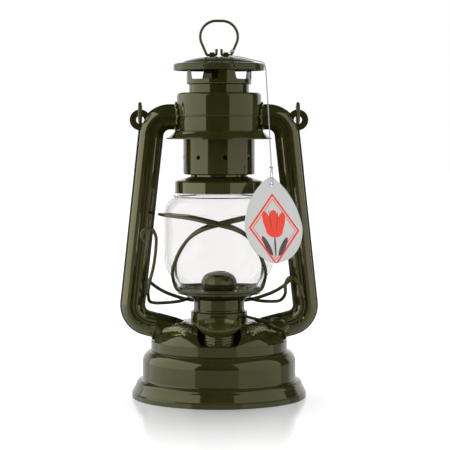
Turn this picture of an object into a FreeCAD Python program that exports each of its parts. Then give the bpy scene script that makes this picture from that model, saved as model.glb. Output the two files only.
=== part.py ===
import FreeCAD, Part

import math
import os

import Sketcher
from FreeCAD import Placement, Rotation, Vector

# An oil lamp with a wind-proof chimney. Millimetres, +Z up, origin on the floor under the tank.
# Front is -Y. A lamp of this kind has a body of revolution at its centre, two side air tubes that
# carry the hood, and a globe group and chimney that rise between them.

SIZES = {
    # sheet metal and fits
    "sheet_wall": 0.8, "seat_gap": 0.05, "slide_gap": 0.4,
    # tank
    "foot_radius": 65.5, "foot_lip": 4.6, "foot_groove": 0.5, "foot_slope": 3.2, "foot_round": 3.4,
    "foot_crease": 1.1, "flare_top": 13.2,
    "tank_radius": 57.6, "tank_wall_top": 27.0, "shoulder_round": 8.8,
    "rim_radius": 51.2, "rim_bottom": 35.6, "rim_top": 42.5, "dome_edge": 50.4,
    "dome_top": 57.0, "crown_radius": 24.0, "dome_round": 31.5,
    "pan_height": 3.0, "lid_flange": 3.0,
    # filler
    "filler_back": 38.5, "filler_tilt": 9.0, "well_radius": 16.2, "well_floor": 43.3,
    "filler_radius": 11.0, "thread_depth": 0.5, "thread_pitch": 1.9, "thread_turns": 5,
    "filler_height": 12.0, "filler_root": 8.0,
    "cap_radius": 15.8, "cap_height": 6.45, "cap_skirt": 2.15, "cap_dish": 2.4, "cap_bowl": 12.0,
    "cap_lip": 1.2, "gasket_height": 0.9,
    # burner
    "socket_radius": 14.6, "socket_height": 7.0, "burner_radius": 13.4, "burner_top": 72.6,
    "saucer_radius": 14.3, "saucer_height": 82.0, "cone_radius": 13.4, "cone_bottom": 84.0,
    "cone_top": 94.5, "cone_shoulder": 9.6, "cone_shoulder_height": 92.4, "cone_round": 8.6,
    "cone_crown_round": 24.0,
    "wick_width": 12.0, "wick_thick": 2.0, "wick_bottom": 9.0, "wick_top": 93.5,
    "wick_azimuth": -20.0, "shaft_radius": 1.1, "shaft_rise": 9.0, "shaft_slope": 11.5,
    "ratchet_radius": 3.2, "ratchet_width": 2.4, "ratchet_spacing": 7.0, "knob_reach": 49.4,
    "knob_radius": 5.4, "knob_length": 15.0, "knob_round": 2.6,
    # air chamber
    "drum_radius": 21.4, "drum_top": 64.5, "neck_radius": 19.0, "neck_top": 74.3,
    # globe plate
    "plate_hole": 15.6, "plate_flat": 23.6, "plate_bottom": 75.0, "ledge_height": 78.6,
    "ledge_inner": 28.0, "ledge_outer": 31.2, "plate_rim": 81.0, "plate_rim_radius": 32.5,
    # globe
    "glass_wall": 1.7, "globe_foot": 29.6, "globe_radius": 41.8, "globe_low": 106.0,
    "globe_high": 138.0, "globe_waist": 35.8, "globe_waist_height": 90.0, "globe_lower_round": 24.0,
    "globe_foot_round": 28.5, "globe_upper_round": 14.2,
    "globe_neck": 33.0, "globe_shoulder": 150.0, "globe_lip": 34.8, "globe_top": 153.4,
    # guard and lift wires
    "guard_wire": 1.25, "guard_dip": 3.2, "lift_rod": 1.25, "lift_pivot_reach": 63.0,
    "lift_pivot_height": 75.0, "lift_tip": 6.0, "lift_elbow": 11.6, "lift_ring_gap": 2.6,
    # chimney
    "collar_radius": 33.0, "collar_top": 162.4, "waist_radius": 21.4, "waist_height": 165.6,
    "chimney_radius": 26.8, "chimney_bottom": 167.0, "chimney_shoulder": 196.5,
    "stack_radius": 22.5, "stack_bottom": 199.5, "stack_top": 235.0,
    "chimney_hole": 1.7, "chimney_hole_height": 180.0, "chimney_hole_turn": 10.0,
    "vent_radius": 24.2, "vent_bottom": 234.0, "vent_round": 1.2, "vent_top": 244.6,
    "vent_rim": 250.8, "window_bottom": 238.0, "window_half": 12.6, "window_foot": 11.4, "window_turn": 14.5,
    "cap_brim": 34.0, "brim_height": 5.0, "brim_round": 1.6, "cap_crease": 26.6,
    "crease_height": 250.5, "crease_step": 0.5, "crown_flat": 9.0, "crown_height": 254.6,
    "notch_width": 0.9, "notch_height": 1.6, "notch_turn": 19.0,
    # hood
    "hood_flange": 39.6, "hood_bottom": 193.5, "hood_flare": 33.6, "flare_height": 199.0,
    "hood_radius": 31.2, "hood_seam": 210.3, "hood_top_radius": 31.6, "hood_top": 228.0,
    "hood_round": 2.5, "hood_bead": 0.6, "flare_round": 12.0,
    # side tubes
    "tube_top": 210.0, "tube_corner": 49.6, "tube_lean_bottom": 66.2,
    "tube_low": 58.4, "tube_slope": 0.268, "tube_top_bend": 14.5, "tube_low_bend": 14.0,
    "tube_start": 26.0, "tube_end": 20.0,
    "tube_half_width": 9.5, "tube_half_depth": 7.8, "tube_flange": 1.3,
    "tube_crease": 5.8, "ear_reach": 59.0, "ear_height": 207.75, "ear_radius": 7.8, "ear_hole": 3.0,
    "air_port": 6.2,
    # lift ring
    "ring_wire": 1.0, "ring_half": 14.0, "ring_bend": 11.8, "ring_top": 281.4, "ring_foot": 9.1,
    "ring_axle": 256.0,
    "ring_stub": 1.9, "ring_stub_top": 260.5, "saddle_inner": 3.3, "saddle_outer": 7.0,
    "saddle_radius": 2.1,
    # bail
    "bail_wire": 1.4, "bail_eye": 6.7, "bail_lean": 17.0, "bail_gap": 0.2,
    # spring
    "spring_wire": 0.6, "spring_radius": 25.3, "spring_turns": 4.0,
    # hang tag
    "tag_width": 52.6, "tag_length": 65.0, "tag_thick": 0.8, "tag_roll": -4.8, "tag_turn": 36.0,
    "tag_tilt": 12.0, "tag_reach": 38.5, "tag_front": 23.0, "tag_height": 160.3, "tag_hole": 1.5,
    "tag_hole_drop": 6.4, "tag_waist": 37.0, "tag_side_round": 52.0, "tag_low_round": 27.5, "tag_tip": 4.0,
    "string_radius": 0.4, "knot_radius": 1.3, "knot_height": 2.4,
}

FRONT = Vector(0, -1, 0)
UP = Vector(0, 0, 1)


class Size:
    """A number together with the spreadsheet formula that it comes from."""

    def __init__(self, value, text):
        self.value, self.text = float(value), text

    def __float__(self):
        return self.value

    def joined(self, other, sign, value, swapped=False):
        mine, theirs = self.text, as_size(other).text
        first, second = (theirs, mine) if swapped else (mine, theirs)
        return Size(value, "(%s %s %s)" % (first, sign, second))

    def __add__(self, other):
        return self.joined(other, "+", self.value + float(other))

    def __radd__(self, other):
        return self.joined(other, "+", float(other) + self.value, True)

    def __sub__(self, other):
        return self.joined(other, "-", self.value - float(other))

    def __rsub__(self, other):
        return self.joined(other, "-", float(other) - self.value, True)

    def __mul__(self, other):
        return self.joined(other, "*", self.value * float(other))

    def __rmul__(self, other):
        return self.joined(other, "*", float(other) * self.value, True)

    def __truediv__(self, other):
        return self.joined(other, "/", self.value / float(other))

    def __neg__(self):
        return Size(-self.value, "(-%s)" % self.text)


def as_size(value):
    return value if isinstance(value, Size) else Size(value, repr(float(value)))


def root(size):
    return Size(math.sqrt(float(size)), "sqrt(%s)" % size.text)


def make_sheet():
    sheet = doc.addObject("Spreadsheet::Sheet", "Sizes")
    for row, (alias, value) in enumerate(SIZES.items(), 1):
        sheet.set("A%d" % row, alias)
        sheet.set("B%d" % row, repr(value))
        sheet.setAlias("B%d" % row, alias)
    doc.recompute()
    return sheet


class Sizes:
    """Gives each alias of the sheet as a Size: s.tank_radius."""

    def __init__(self, sheet):
        self.sheet = sheet

    def __getattr__(self, alias):
        return Size(getattr(self.sheet, alias), "Sizes." + alias)


doc = FreeCAD.newDocument("oil_lamp")
s = Sizes(make_sheet())
parts = {}


def keep(label, obj):
    """Names the finished object of one sub-part; the label names its file."""
    obj.Label = label
    parts[label] = obj
    return obj


def bind(obj, prop, size):
    obj.setExpression(prop, as_size(size).text)


def place(obj, x=None, y=None, z=None):
    for axis, size in (("x", x), ("y", y), ("z", z)):
        if size is not None:
            bind(obj, "Placement.Base." + axis, size)


# ---- sketches, bodies and primitives -----------------------------------------------------------

def origin_plane(body, role):
    return [f for f in body.Origin.OriginFeatures if f.Role == role][0]


def new_sketch(body, name, plane, offset=None):
    sketch = body.newObject("Sketcher::SketchObject", name)
    sketch.AttachmentSupport = (origin_plane(body, plane), [""])
    sketch.MapMode = "FlatFace"
    if offset is not None:
        bind(sketch, "AttachmentOffset.Base.z", offset)
    return sketch


def fix_point(sketch, geo, pos, x, y):
    """Ties a vertex to the sketch's origin by two formulas."""
    for kind, axis, size in (("DistanceX", -2, x), ("DistanceY", -1, y)):
        size = as_size(size)
        if size.value == 0.0:
            sketch.addConstraint(Sketcher.Constraint("PointOnObject", geo, pos, axis))
        else:
            index = sketch.addConstraint(Sketcher.Constraint(kind, -1, 1, geo, pos, size.value))
            bind(sketch, "Constraints[%d]" % index, size)


def arc_between(start, end, radius):
    """A minor arc; a positive radius turns left on the way, a negative one right."""
    half = (end - start) * 0.5
    left = Vector(-half.y, half.x, 0).normalize()
    rise = math.sqrt(radius * radius - half.Length ** 2)
    side = 1 if radius > 0 else -1
    centre = start + half + left * (rise * side)
    first, last = (start, end) if side > 0 else (end, start)
    angles = [math.atan2(p.y - centre.y, p.x - centre.x) for p in (first, last)]
    return Part.ArcOfCircle(Part.Circle(centre, UP, abs(radius)), angles[0], angles[1])


def draw(sketch, outline, closed=True):
    """Draws lines through (x, y) corners; a third value bends the line that arrives there."""
    corners = [Vector(float(p[0]), float(p[1]), 0) for p in outline]
    count = len(outline) if closed else len(outline) - 1
    ends = []
    for here in range(count):
        there = (here + 1) % len(outline)
        bend = outline[there][2] if len(outline[there]) > 2 else None
        if bend is None:
            geo = sketch.addGeometry(Part.LineSegment(corners[here], corners[there]))
            ends.append((geo, 1, 2))
            continue
        radius = float(bend)
        geo = sketch.addGeometry(arc_between(corners[here], corners[there], radius))
        ends.append((geo, 1, 2) if radius > 0 else (geo, 2, 1))
        index = sketch.addConstraint(Sketcher.Constraint("Radius", geo, abs(radius)))
        bind(sketch, "Constraints[%d]" % index, bend if radius > 0 else -bend)
    for here in range(count):
        fix_point(sketch, ends[here][0], ends[here][1], outline[here][0], outline[here][1])
        if closed or here + 1 < count:
            after = ends[(here + 1) % count]
            sketch.addConstraint(
                Sketcher.Constraint("Coincident", ends[here][0], ends[here][2], after[0], after[1]))
    if not closed:
        fix_point(sketch, ends[-1][0], ends[-1][2], outline[-1][0], outline[-1][1])
    return ends


def lathe(name, outline):
    """A body turned about Z from an outline of (radius, height) corners."""
    body = doc.addObject("PartDesign::Body", name)
    sketch = new_sketch(body, name + "_outline", "XZ_Plane")
    draw(sketch, outline)
    turned = body.newObject("PartDesign::Revolution", name + "_turned")
    turned.Profile = sketch
    turned.ReferenceAxis = (sketch, ["V_Axis"])
    turned.Angle = 360
    body.Tip = turned
    return body


def punch(body, name, count, draw_hole, reach, turn=None):
    """Pockets one hole through the front and repeats it evenly about Z."""
    sketch = new_sketch(body, name + "_hole", "XZ_Plane")
    if turn is not None:
        sketch.AttachmentOffset = Placement(Vector(), Rotation(Vector(0, 1, 0), 1))
        bind(sketch, "AttachmentOffset.Rotation.Angle", turn)
    draw_hole(sketch)
    pocket = body.newObject("PartDesign::Pocket", name + "_pocket")
    pocket.Profile = sketch
    bind(pocket, "Length", reach)
    body.Tip = pocket
    pattern = body.newObject("PartDesign::PolarPattern", name + "_pattern")
    pattern.Originals = [pocket]
    pattern.Axis = (sketch, ["V_Axis"])
    pattern.Angle = 360
    pattern.Occurrences = count
    body.Tip = pattern


def draw_circle(sketch, x, y, radius):
    centre = Vector(float(x), float(y), 0)
    geo = sketch.addGeometry(Part.Circle(centre, UP, float(radius)))
    index = sketch.addConstraint(Sketcher.Constraint("Radius", geo, float(radius)))
    bind(sketch, "Constraints[%d]" % index, radius)
    fix_point(sketch, geo, 3, x, y)


def cylinder(name, radius, height, x=None, y=None, z=None):
    obj = doc.addObject("Part::Cylinder", name)
    bind(obj, "Radius", radius)
    bind(obj, "Height", height)
    place(obj, x, y, z)
    return obj


def box(name, length, width, height, x=None, y=None, z=None):
    obj = doc.addObject("Part::Box", name)
    bind(obj, "Length", length)
    bind(obj, "Width", width)
    bind(obj, "Height", height)
    place(obj, x, y, z)
    return obj


def lean(obj, axis, angle):
    """Turns a primitive about an axis through its own base point."""
    obj.Placement = Placement(obj.Placement.Base, Rotation(axis, 1))
    bind(obj, "Placement.Rotation.Angle", angle)
    return obj


def cut(name, base, *tools):
    for number, tool in enumerate(tools, 1):
        obj = doc.addObject("Part::Cut", "%s_cut%d" % (name, number))
        obj.Base, obj.Tool = base, tool
        base = obj
    return base


def fuse(name, *shapes):
    obj = doc.addObject("Part::MultiFuse", name + "_fused")
    obj.Shapes = list(shapes)
    return obj


def mirrored(name, source, normal):
    obj = doc.addObject("Part::Mirroring", name)
    obj.Source = source
    obj.Normal = normal
    return obj


def feature(label, shape):
    obj = doc.addObject("Part::Feature", label)
    obj.Shape = shape
    return keep(label, obj)


# ---- bent wires --------------------------------------------------------------------------------

def rounded_path(points, largest=None):
    """Straight runs joined by tangent arcs, each as large as its two runs allow."""
    edges, radii, at = [], [], points[0]
    for before, corner, after in zip(points, points[1:], points[2:]):
        into, out = corner - before, after - corner
        turn = into.getAngle(out)
        short = min(into.Length, out.Length)
        radius = 0.45 * short / math.tan(turn / 2)
        if largest is not None:
            radius = min(radius, largest)
        reach = radius * math.tan(turn / 2)
        into.normalize()
        out.normalize()
        start, end = corner - into * reach, corner + out * reach
        depth = radius / math.cos(turn / 2) - radius
        middle = corner + (out - into).normalize() * depth
        if (start - at).Length > 1e-6:
            edges.append(Part.LineSegment(at, start).toShape())
        edges.append(Part.Arc(start, middle, end).toShape())
        radii.append(radius)
        at = end
    edges.append(Part.LineSegment(at, points[-1]).toShape())
    return Part.Wire(edges), radii


def wire_solid(path, radius):
    """A round wire along a smooth path."""
    first = path.OrderedEdges[0]
    start = first.valueAt(first.FirstParameter)
    onward = first.tangentAt(first.FirstParameter)
    ring = Part.Wire(Part.makeCircle(radius, start, onward))
    return path.makePipe(Part.Face(ring))


def around(radius, azimuth, height):
    """A point at a distance from the lamp's axis; azimuth 0 is right, -90 the front."""
    angle = math.radians(azimuth)
    return Vector(radius * math.cos(angle), radius * math.sin(angle), height)


# ---- tank --------------------------------------------------------------------------------------

collar_radius = s.rim_radius - s.sheet_wall - s.seat_gap


def tank_shell():
    wall = s.sheet_wall
    groove = s.foot_groove
    shoulder = s.foot_radius - s.foot_slope
    outline = [
        (s.foot_radius, 0), (s.foot_radius, s.foot_lip - groove * 2),
        (s.foot_radius - groove, s.foot_lip - groove), (s.foot_radius - groove, s.foot_lip),
        (shoulder, s.flare_top - s.foot_round), (shoulder - s.foot_round, s.flare_top, s.foot_round),
        (s.tank_radius + s.foot_crease, s.flare_top),
        (s.tank_radius, s.flare_top + s.foot_crease, -s.foot_crease), (s.tank_radius, s.tank_wall_top),
        (collar_radius, s.rim_bottom - s.seat_gap * 2, s.shoulder_round),
        (collar_radius, s.rim_top - wall - s.seat_gap),
        (collar_radius - wall, s.rim_top - wall - s.seat_gap),
        (collar_radius - wall, s.rim_bottom - wall),
        (s.tank_radius - wall, s.tank_wall_top - wall, -s.shoulder_round),
        (s.tank_radius - wall, s.flare_top + s.foot_crease),
        (s.tank_radius + s.foot_crease, s.flare_top - wall, s.foot_crease + wall),
        (shoulder - s.foot_round, s.flare_top - wall),
        (shoulder - wall, s.flare_top - s.foot_round, wall - s.foot_round),
        (s.foot_radius - groove - wall, s.foot_lip),
        (s.foot_radius - groove - wall, 0),
    ]
    keep("tank_shell", lathe("tank_shell_body", outline))


def tank_bottom():
    wall, edge = s.sheet_wall, s.foot_radius - s.foot_groove - s.sheet_wall - s.seat_gap
    outline = [
        (0, s.pan_height), (edge - wall, s.pan_height), (edge - wall, wall), (edge, wall),
        (edge, s.pan_height + wall), (0, s.pan_height + wall),
    ]
    keep("tank_bottom", lathe("tank_bottom_body", outline))


def filler_tool(name, radius):
    """A leaning cylinder along the filler's axis, used to pass the neck through sheets."""
    tool = cylinder(name, radius, s.filler_root * 2, y=-s.filler_back, z=s.well_floor)
    lean(tool, Vector(1, 0, 0), s.filler_tilt)
    tool.setExpression("Placement.Base.z", (s.well_floor - s.filler_root).text)
    lowered = s.filler_back * -1 + s.filler_root * 0.158
    bind(tool, "Placement.Base.y", lowered)
    return tool


def tank_lid():
    wall = s.sheet_wall
    edge = collar_radius - wall - s.seat_gap
    floor = s.rim_bottom + s.seat_gap
    outline = [
        (s.socket_radius - wall, floor), (edge, floor), (edge, floor + s.lid_flange),
        (edge - wall, floor + s.lid_flange), (edge - wall, floor + wall),
        (s.socket_radius - wall, floor + wall),
    ]
    lid = lathe("tank_lid_body", outline)
    keep("tank_lid", cut("tank_lid", lid, filler_tool("lid_hole", s.filler_radius + s.seat_gap)))


def dome_outline(grow):
    """The outside of the domed top, grown by a gap, down to the bottom of its rim."""
    return [
        (0, s.rim_bottom), (s.rim_radius + grow, s.rim_bottom), (s.rim_radius + grow, s.rim_top),
        (s.dome_edge + grow, s.rim_top + grow),
        (s.crown_radius + grow, s.dome_top + grow, s.dome_round), (0, s.dome_top + grow),
    ]


def dome_top():
    wall = s.sheet_wall
    inner = s.rim_radius - wall
    void_outline = [
        (0, s.rim_bottom - wall), (inner, s.rim_bottom - wall), (inner, s.rim_top - wall),
        (s.dome_edge - wall, s.rim_top - wall / 2),
        (s.crown_radius, s.dome_top - wall, s.dome_round), (0, s.dome_top - wall),
    ]
    well_tall = s.dome_top - s.well_floor + wall * 2
    outside = cut("dome_outside", lathe("dome_outside_body", dome_outline(0)),
                  cylinder("dome_well", s.well_radius, well_tall, y=-s.filler_back, z=s.well_floor))
    inside = cut("dome_inside", lathe("dome_inside_body", void_outline),
                 cylinder("dome_well_back", s.well_radius + wall, well_tall, y=-s.filler_back,
                          z=s.well_floor - wall))
    burner_bore = cylinder("dome_bore", s.neck_radius - wall * 2, s.dome_top)
    ports = [air_port(side) for side in (1, -1)]
    hollow = cut("tank_top", outside, inside, burner_bore, *ports,
                 filler_tool("well_hole", s.filler_radius + s.seat_gap))
    keep("tank_top", hollow)


def air_port(side):
    """The opening under each side tube, along the tube's own slope."""
    port = cylinder("air_port_%s" % ("right" if side > 0 else "left"), s.air_port, s.tube_lean_bottom)
    slope = Rotation(Vector(0, 1, 0), side * (90 - math.degrees(math.atan(float(s.tube_slope)))))
    port.Placement = Placement(Vector(), slope)
    bind(port, "Placement.Base.z", s.tube_low - s.tube_slope * s.tube_lean_bottom)
    return port


# ---- filler ------------------------------------------------------------------------------------

def on_filler(obj):
    """Stands an object of revolution on the well floor, leaning to the front."""
    obj.Placement = Placement(Vector(), Rotation(Vector(1, 0, 0), 1))
    bind(obj, "Placement.Rotation.Angle", s.filler_tilt)
    place(obj, y=-s.filler_back, z=s.well_floor)
    return obj


def filler_neck():
    inner = s.filler_radius - s.thread_depth - s.sheet_wall
    root_radius = s.filler_radius - s.thread_depth
    outline = [(inner, -s.filler_root), (s.filler_radius, -s.filler_root), (s.filler_radius, s.thread_pitch)]
    for ridge in range(int(SIZES["thread_turns"])):
        low = s.thread_pitch * (ridge + 1)
        outline += [(root_radius, low + s.thread_pitch * 0.25), (root_radius, low + s.thread_pitch * 0.5),
                    (s.filler_radius, low + s.thread_pitch * 0.75)]
    outline += [(s.filler_radius, s.filler_height), (inner, s.filler_height)]
    keep("filler_neck", on_filler(lathe("filler_neck_body", outline)))


def filler_cap():
    """A dished cap: a knurled rim over a skirt that covers the top of the thread."""
    wall = s.sheet_wall
    skirt_in = s.filler_radius + s.slide_gap
    skirt_low = s.filler_height - s.cap_skirt
    seat = s.filler_height + s.gasket_height + s.seat_gap
    top = skirt_low + s.cap_height
    outline = [
        (0, seat), (skirt_in, seat), (skirt_in, skirt_low), (skirt_in + wall, skirt_low),
        (s.cap_radius, top - s.cap_lip, s.cap_bowl), (s.cap_radius, top - wall),
        (s.cap_radius - wall, top), (s.cap_radius - wall * 3, top),
        (s.cap_radius - wall * 4, top - s.cap_dish), (s.cap_radius / 2 + wall, top - s.cap_dish),
        (s.cap_radius / 2, top - s.cap_dish + wall), (0, top - s.cap_dish + wall),
    ]
    keep("filler_cap", on_filler(lathe("filler_cap_body", outline)))
    gasket = [
        (s.filler_radius / 2, s.filler_height + s.seat_gap), (s.filler_radius, s.filler_height + s.seat_gap),
        (s.filler_radius, s.filler_height + s.gasket_height),
        (s.filler_radius / 2, s.filler_height + s.gasket_height),
    ]
    keep("cap_gasket", on_filler(lathe("cap_gasket_body", gasket)))


# ---- air chamber and burner --------------------------------------------------------------------

shaft_height = s.dome_top + s.shaft_rise


def shaft_frame():
    """The sloping wick shaft: a point beside the wick, and the way out to the knob."""
    azimuth, slope = math.radians(float(s.wick_azimuth)), math.radians(float(s.shaft_slope))
    flat = Vector(math.cos(azimuth), math.sin(azimuth), 0)
    beside = Vector(flat.y, -flat.x, 0)
    offset = float(s.wick_thick / 2 + s.ratchet_radius + s.slide_gap / 2)
    start = beside * offset + UP * float(shaft_height)
    return start, (flat * math.cos(slope) - UP * math.sin(slope))


def along_shaft(radius, near, far):
    start, onward = shaft_frame()
    return Part.makeCylinder(float(radius), float(far - near), start + onward * float(near), onward)


def shaft_clearance(name):
    tool = doc.addObject("Part::Feature", name)
    tool.Shape = along_shaft(s.shaft_radius + s.slide_gap, as_size(0), s.knob_reach)
    return tool


def air_chamber():
    wall = s.sheet_wall
    base = s.dome_top + s.seat_gap
    lower = [
        (s.neck_radius - wall, base), (s.drum_radius, base), (s.drum_radius, s.drum_top - wall),
        (s.drum_radius - wall, s.drum_top), (s.neck_radius - wall, s.drum_top),
        (s.neck_radius - wall, s.drum_top - wall), (s.drum_radius - wall, s.drum_top - wall),
        (s.drum_radius - wall, base + wall), (s.neck_radius - wall, base + wall),
    ]
    drum = lathe("chamber_drum_body", lower)
    keep("chamber_drum", cut("chamber_drum", drum, shaft_clearance("drum_slot")))
    low = s.drum_top + s.seat_gap
    upper = [
        (s.neck_radius - wall, low), (s.neck_radius + wall / 2, low),
        (s.neck_radius + wall / 2, low + wall), (s.neck_radius, low + wall * 2),
        (s.neck_radius, s.neck_top - wall), (s.neck_radius - wall, s.neck_top),
        (s.burner_radius + wall * 2, s.neck_top), (s.burner_radius + wall * 2, s.neck_top - wall),
        (s.neck_radius - wall, s.neck_top - wall),
    ]
    keep("chamber_neck", lathe("chamber_neck_body", upper))


def burner():
    wall = s.sheet_wall
    floor = s.rim_bottom + s.seat_gap * 2 + wall
    socket = [
        (s.burner_radius + s.seat_gap, floor), (s.socket_radius + wall * 2, floor),
        (s.socket_radius + wall * 2, floor + wall), (s.socket_radius, floor + wall),
        (s.socket_radius, floor + s.socket_height), (s.burner_radius + s.seat_gap, floor + s.socket_height),
    ]
    keep("burner_socket", lathe("burner_socket_body", socket))
    slot = wick_box("burner_slot", s.wick_width + wall * 2 + s.slide_gap * 2 + s.seat_gap * 2,
                    s.wick_thick + wall * 2 + s.slide_gap * 2 + s.seat_gap * 2, s.wick_bottom, s.wick_top)
    body = [
        (0, floor), (s.burner_radius, floor), (s.burner_radius, s.burner_top),
        (0, s.burner_top), (0, s.burner_top - wall), (s.burner_radius - wall, s.burner_top - wall),
        (s.burner_radius - wall, floor + wall), (0, floor + wall),
    ]
    shell = lathe("burner_body_body", body)
    keep("burner_body", cut("burner_body", shell, slot, shaft_clearance("body_slot")))
    seat = s.burner_top + s.seat_gap
    saucer = [
        (s.cone_radius - wall * 4, seat), (s.cone_radius - wall * 3, seat),
        (s.cone_radius - wall * 3, s.saucer_height - wall * 2),
        (s.saucer_radius, s.saucer_height - wall), (s.saucer_radius, s.saucer_height),
        (s.cone_radius, s.saucer_height), (s.cone_radius - wall * 2, s.saucer_height - wall),
        (s.cone_radius - wall * 4, s.saucer_height - wall),
    ]
    keep("burner_saucer", lathe("burner_saucer_body", saucer))
    base = s.saucer_height + s.seat_gap
    rise = s.cone_top - s.cone_bottom
    shoulder, bend, crown = s.cone_shoulder, s.cone_round, s.cone_crown_round
    cone = [
        (s.cone_radius, base), (s.cone_radius, s.cone_bottom),
        (shoulder, s.cone_shoulder_height, bend), (0, s.cone_top, crown), (0, s.cone_top - wall),
        (shoulder - wall, s.cone_shoulder_height - wall, wall - crown),
        (s.cone_radius - wall, s.cone_bottom, wall - bend), (s.cone_radius - wall, base),
    ]
    opening = wick_box("cone_slot", s.wick_width + wall * 3, s.wick_thick + wall * 4,
                       s.cone_top - rise, s.cone_top + rise)
    keep("burner_cone", cut("burner_cone", lathe("burner_cone_body", cone), opening))


def wick_box(name, length, width, low, high):
    """An upright box centred on the axis and turned to the wick's azimuth."""
    azimuth = math.radians(SIZES["wick_azimuth"])
    obj = box(name, length, width, high - low)
    obj.Placement = Placement(Vector(), Rotation(UP, 1))
    bind(obj, "Placement.Rotation.Angle", s.wick_azimuth)
    across, back = math.cos(azimuth), math.sin(azimuth)
    place(obj, width * (back / 2) - length * (across / 2), length * (-back / 2) - width * (across / 2), low)
    return obj


def wick_works():
    wall = s.sheet_wall
    inner_length, inner_width = s.wick_width + s.slide_gap * 2, s.wick_thick + s.slide_gap * 2
    low, high = s.rim_bottom + s.sheet_wall * 3, s.cone_top - s.sheet_wall * 3
    outside = wick_box("wick_tube_outside", inner_length + wall * 2, inner_width + wall * 2, low, high)
    inside = wick_box("wick_tube_inside", inner_length, inner_width, low - wall, high + wall)
    reach = s.ratchet_spacing / 2 + s.ratchet_width
    wheels = doc.addObject("Part::Feature", "ratchet_window")
    wheels.Shape = along_shaft(s.ratchet_radius + s.slide_gap, -reach, reach)
    keep("wick_tube", cut("wick_tube", outside, inside, wheels))
    keep("wick", wick_box("wick_band", s.wick_width, s.wick_thick, s.wick_bottom, s.wick_top))
    half = s.ratchet_width / 2
    places = [s.ratchet_spacing * 0.5 - half, s.ratchet_spacing * -0.5 - half]
    rings = [along_shaft(s.ratchet_radius, near, near + s.ratchet_width).cut(
        along_shaft(s.shaft_radius, near, near + s.ratchet_width)) for near in places]
    feature("ratchet_wheels", Part.makeCompound(rings))
    feature("wick_shaft", along_shaft(s.shaft_radius, -reach, s.knob_reach))
    knob = along_shaft(s.knob_radius, s.knob_reach - s.knob_length / 2, s.knob_reach + s.knob_length / 2)
    knob = knob.makeFillet(float(s.knob_round), [e for e in knob.Edges if e.Closed])
    feature("wick_knob", knob.cut(along_shaft(s.shaft_radius, as_size(0), s.knob_reach)))


# ---- globe group -------------------------------------------------------------------------------

def globe_plate():
    wall = s.sheet_wall
    outline = [
        (s.plate_hole, s.plate_bottom), (s.plate_flat, s.plate_bottom),
        (s.ledge_inner, s.ledge_height - wall), (s.ledge_outer, s.ledge_height - wall),
        (s.plate_rim_radius - wall, s.plate_rim - wall * 2), (s.plate_rim_radius, s.plate_rim - wall),
        (s.plate_rim_radius, s.plate_rim), (s.plate_rim_radius - wall, s.plate_rim),
        (s.ledge_outer, s.ledge_height), (s.ledge_inner - wall / 2, s.ledge_height),
        (s.plate_flat - wall / 2, s.plate_bottom + wall), (s.plate_hole, s.plate_bottom + wall),
    ]
    plate = lathe("globe_plate_body", outline)
    middle = (s.plate_bottom + s.ledge_height) / 2
    reach = s.globe_radius
    punch(plate, "plate_air", 12, lambda sketch: draw_circle(sketch, 0, middle, wall), reach)
    keep("globe_plate", plate)


def globe():
    wall = s.glass_wall
    foot = s.ledge_height + s.seat_gap
    neck = s.globe_neck
    outline = [
        (s.globe_foot, foot), (s.globe_waist, s.globe_waist_height, -s.globe_foot_round),
        (s.globe_radius, s.globe_low, s.globe_lower_round),
        (s.globe_radius, s.globe_high), (neck, s.globe_shoulder, s.globe_upper_round),
        (s.globe_lip, s.globe_shoulder + wall / 2), (s.globe_lip, s.globe_top), (neck - wall, s.globe_top),
        (neck - wall, s.globe_shoulder), (s.globe_radius - wall, s.globe_high, -s.globe_upper_round),
        (s.globe_radius - wall, s.globe_low),
        (s.globe_waist - wall, s.globe_waist_height, -s.globe_lower_round),
        (s.globe_foot - wall, foot, s.globe_foot_round),
    ]
    keep("globe", lathe("globe_body", outline))


def globe_skin(height):
    """The globe's outer radius at a height on its lower half."""
    if height >= float(s.globe_low):
        return float(s.globe_radius)
    waist = Vector(float(s.globe_waist), float(s.globe_waist_height), 0)
    if height < waist.y:
        slope = float((s.globe_waist - s.globe_foot) / (s.globe_waist_height - s.ledge_height))
        return waist.x - (waist.y - height) * slope
    arc = arc_between(waist, Vector(float(s.globe_radius), float(s.globe_low), 0), float(s.globe_lower_round))
    return arc.Center.x + math.sqrt(arc.Radius ** 2 - (height - arc.Center.y) ** 2)


# A guard wire's stations as azimuth and height: round the plate's front, up its own side, across
# the front and on round the far side. The second wire is its mirror image and crosses outside it.
GUARD_LEG = [(-157.0, 87.0), (-149.5, 92.5), (-143.5, 97.8), (-137.5, 103.5), (-131.0, 112.0),
             (-121.5, 120.6), (-111.5, 125.8), (-101.0, 129.2)]
GUARD_SIDE = [(-90.0, 131.3), (-79.0, 133.4), (-63.0, 136.0), (-42.0, 137.1), (-20.0, 137.4), (0.0, 137.4)]


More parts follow.
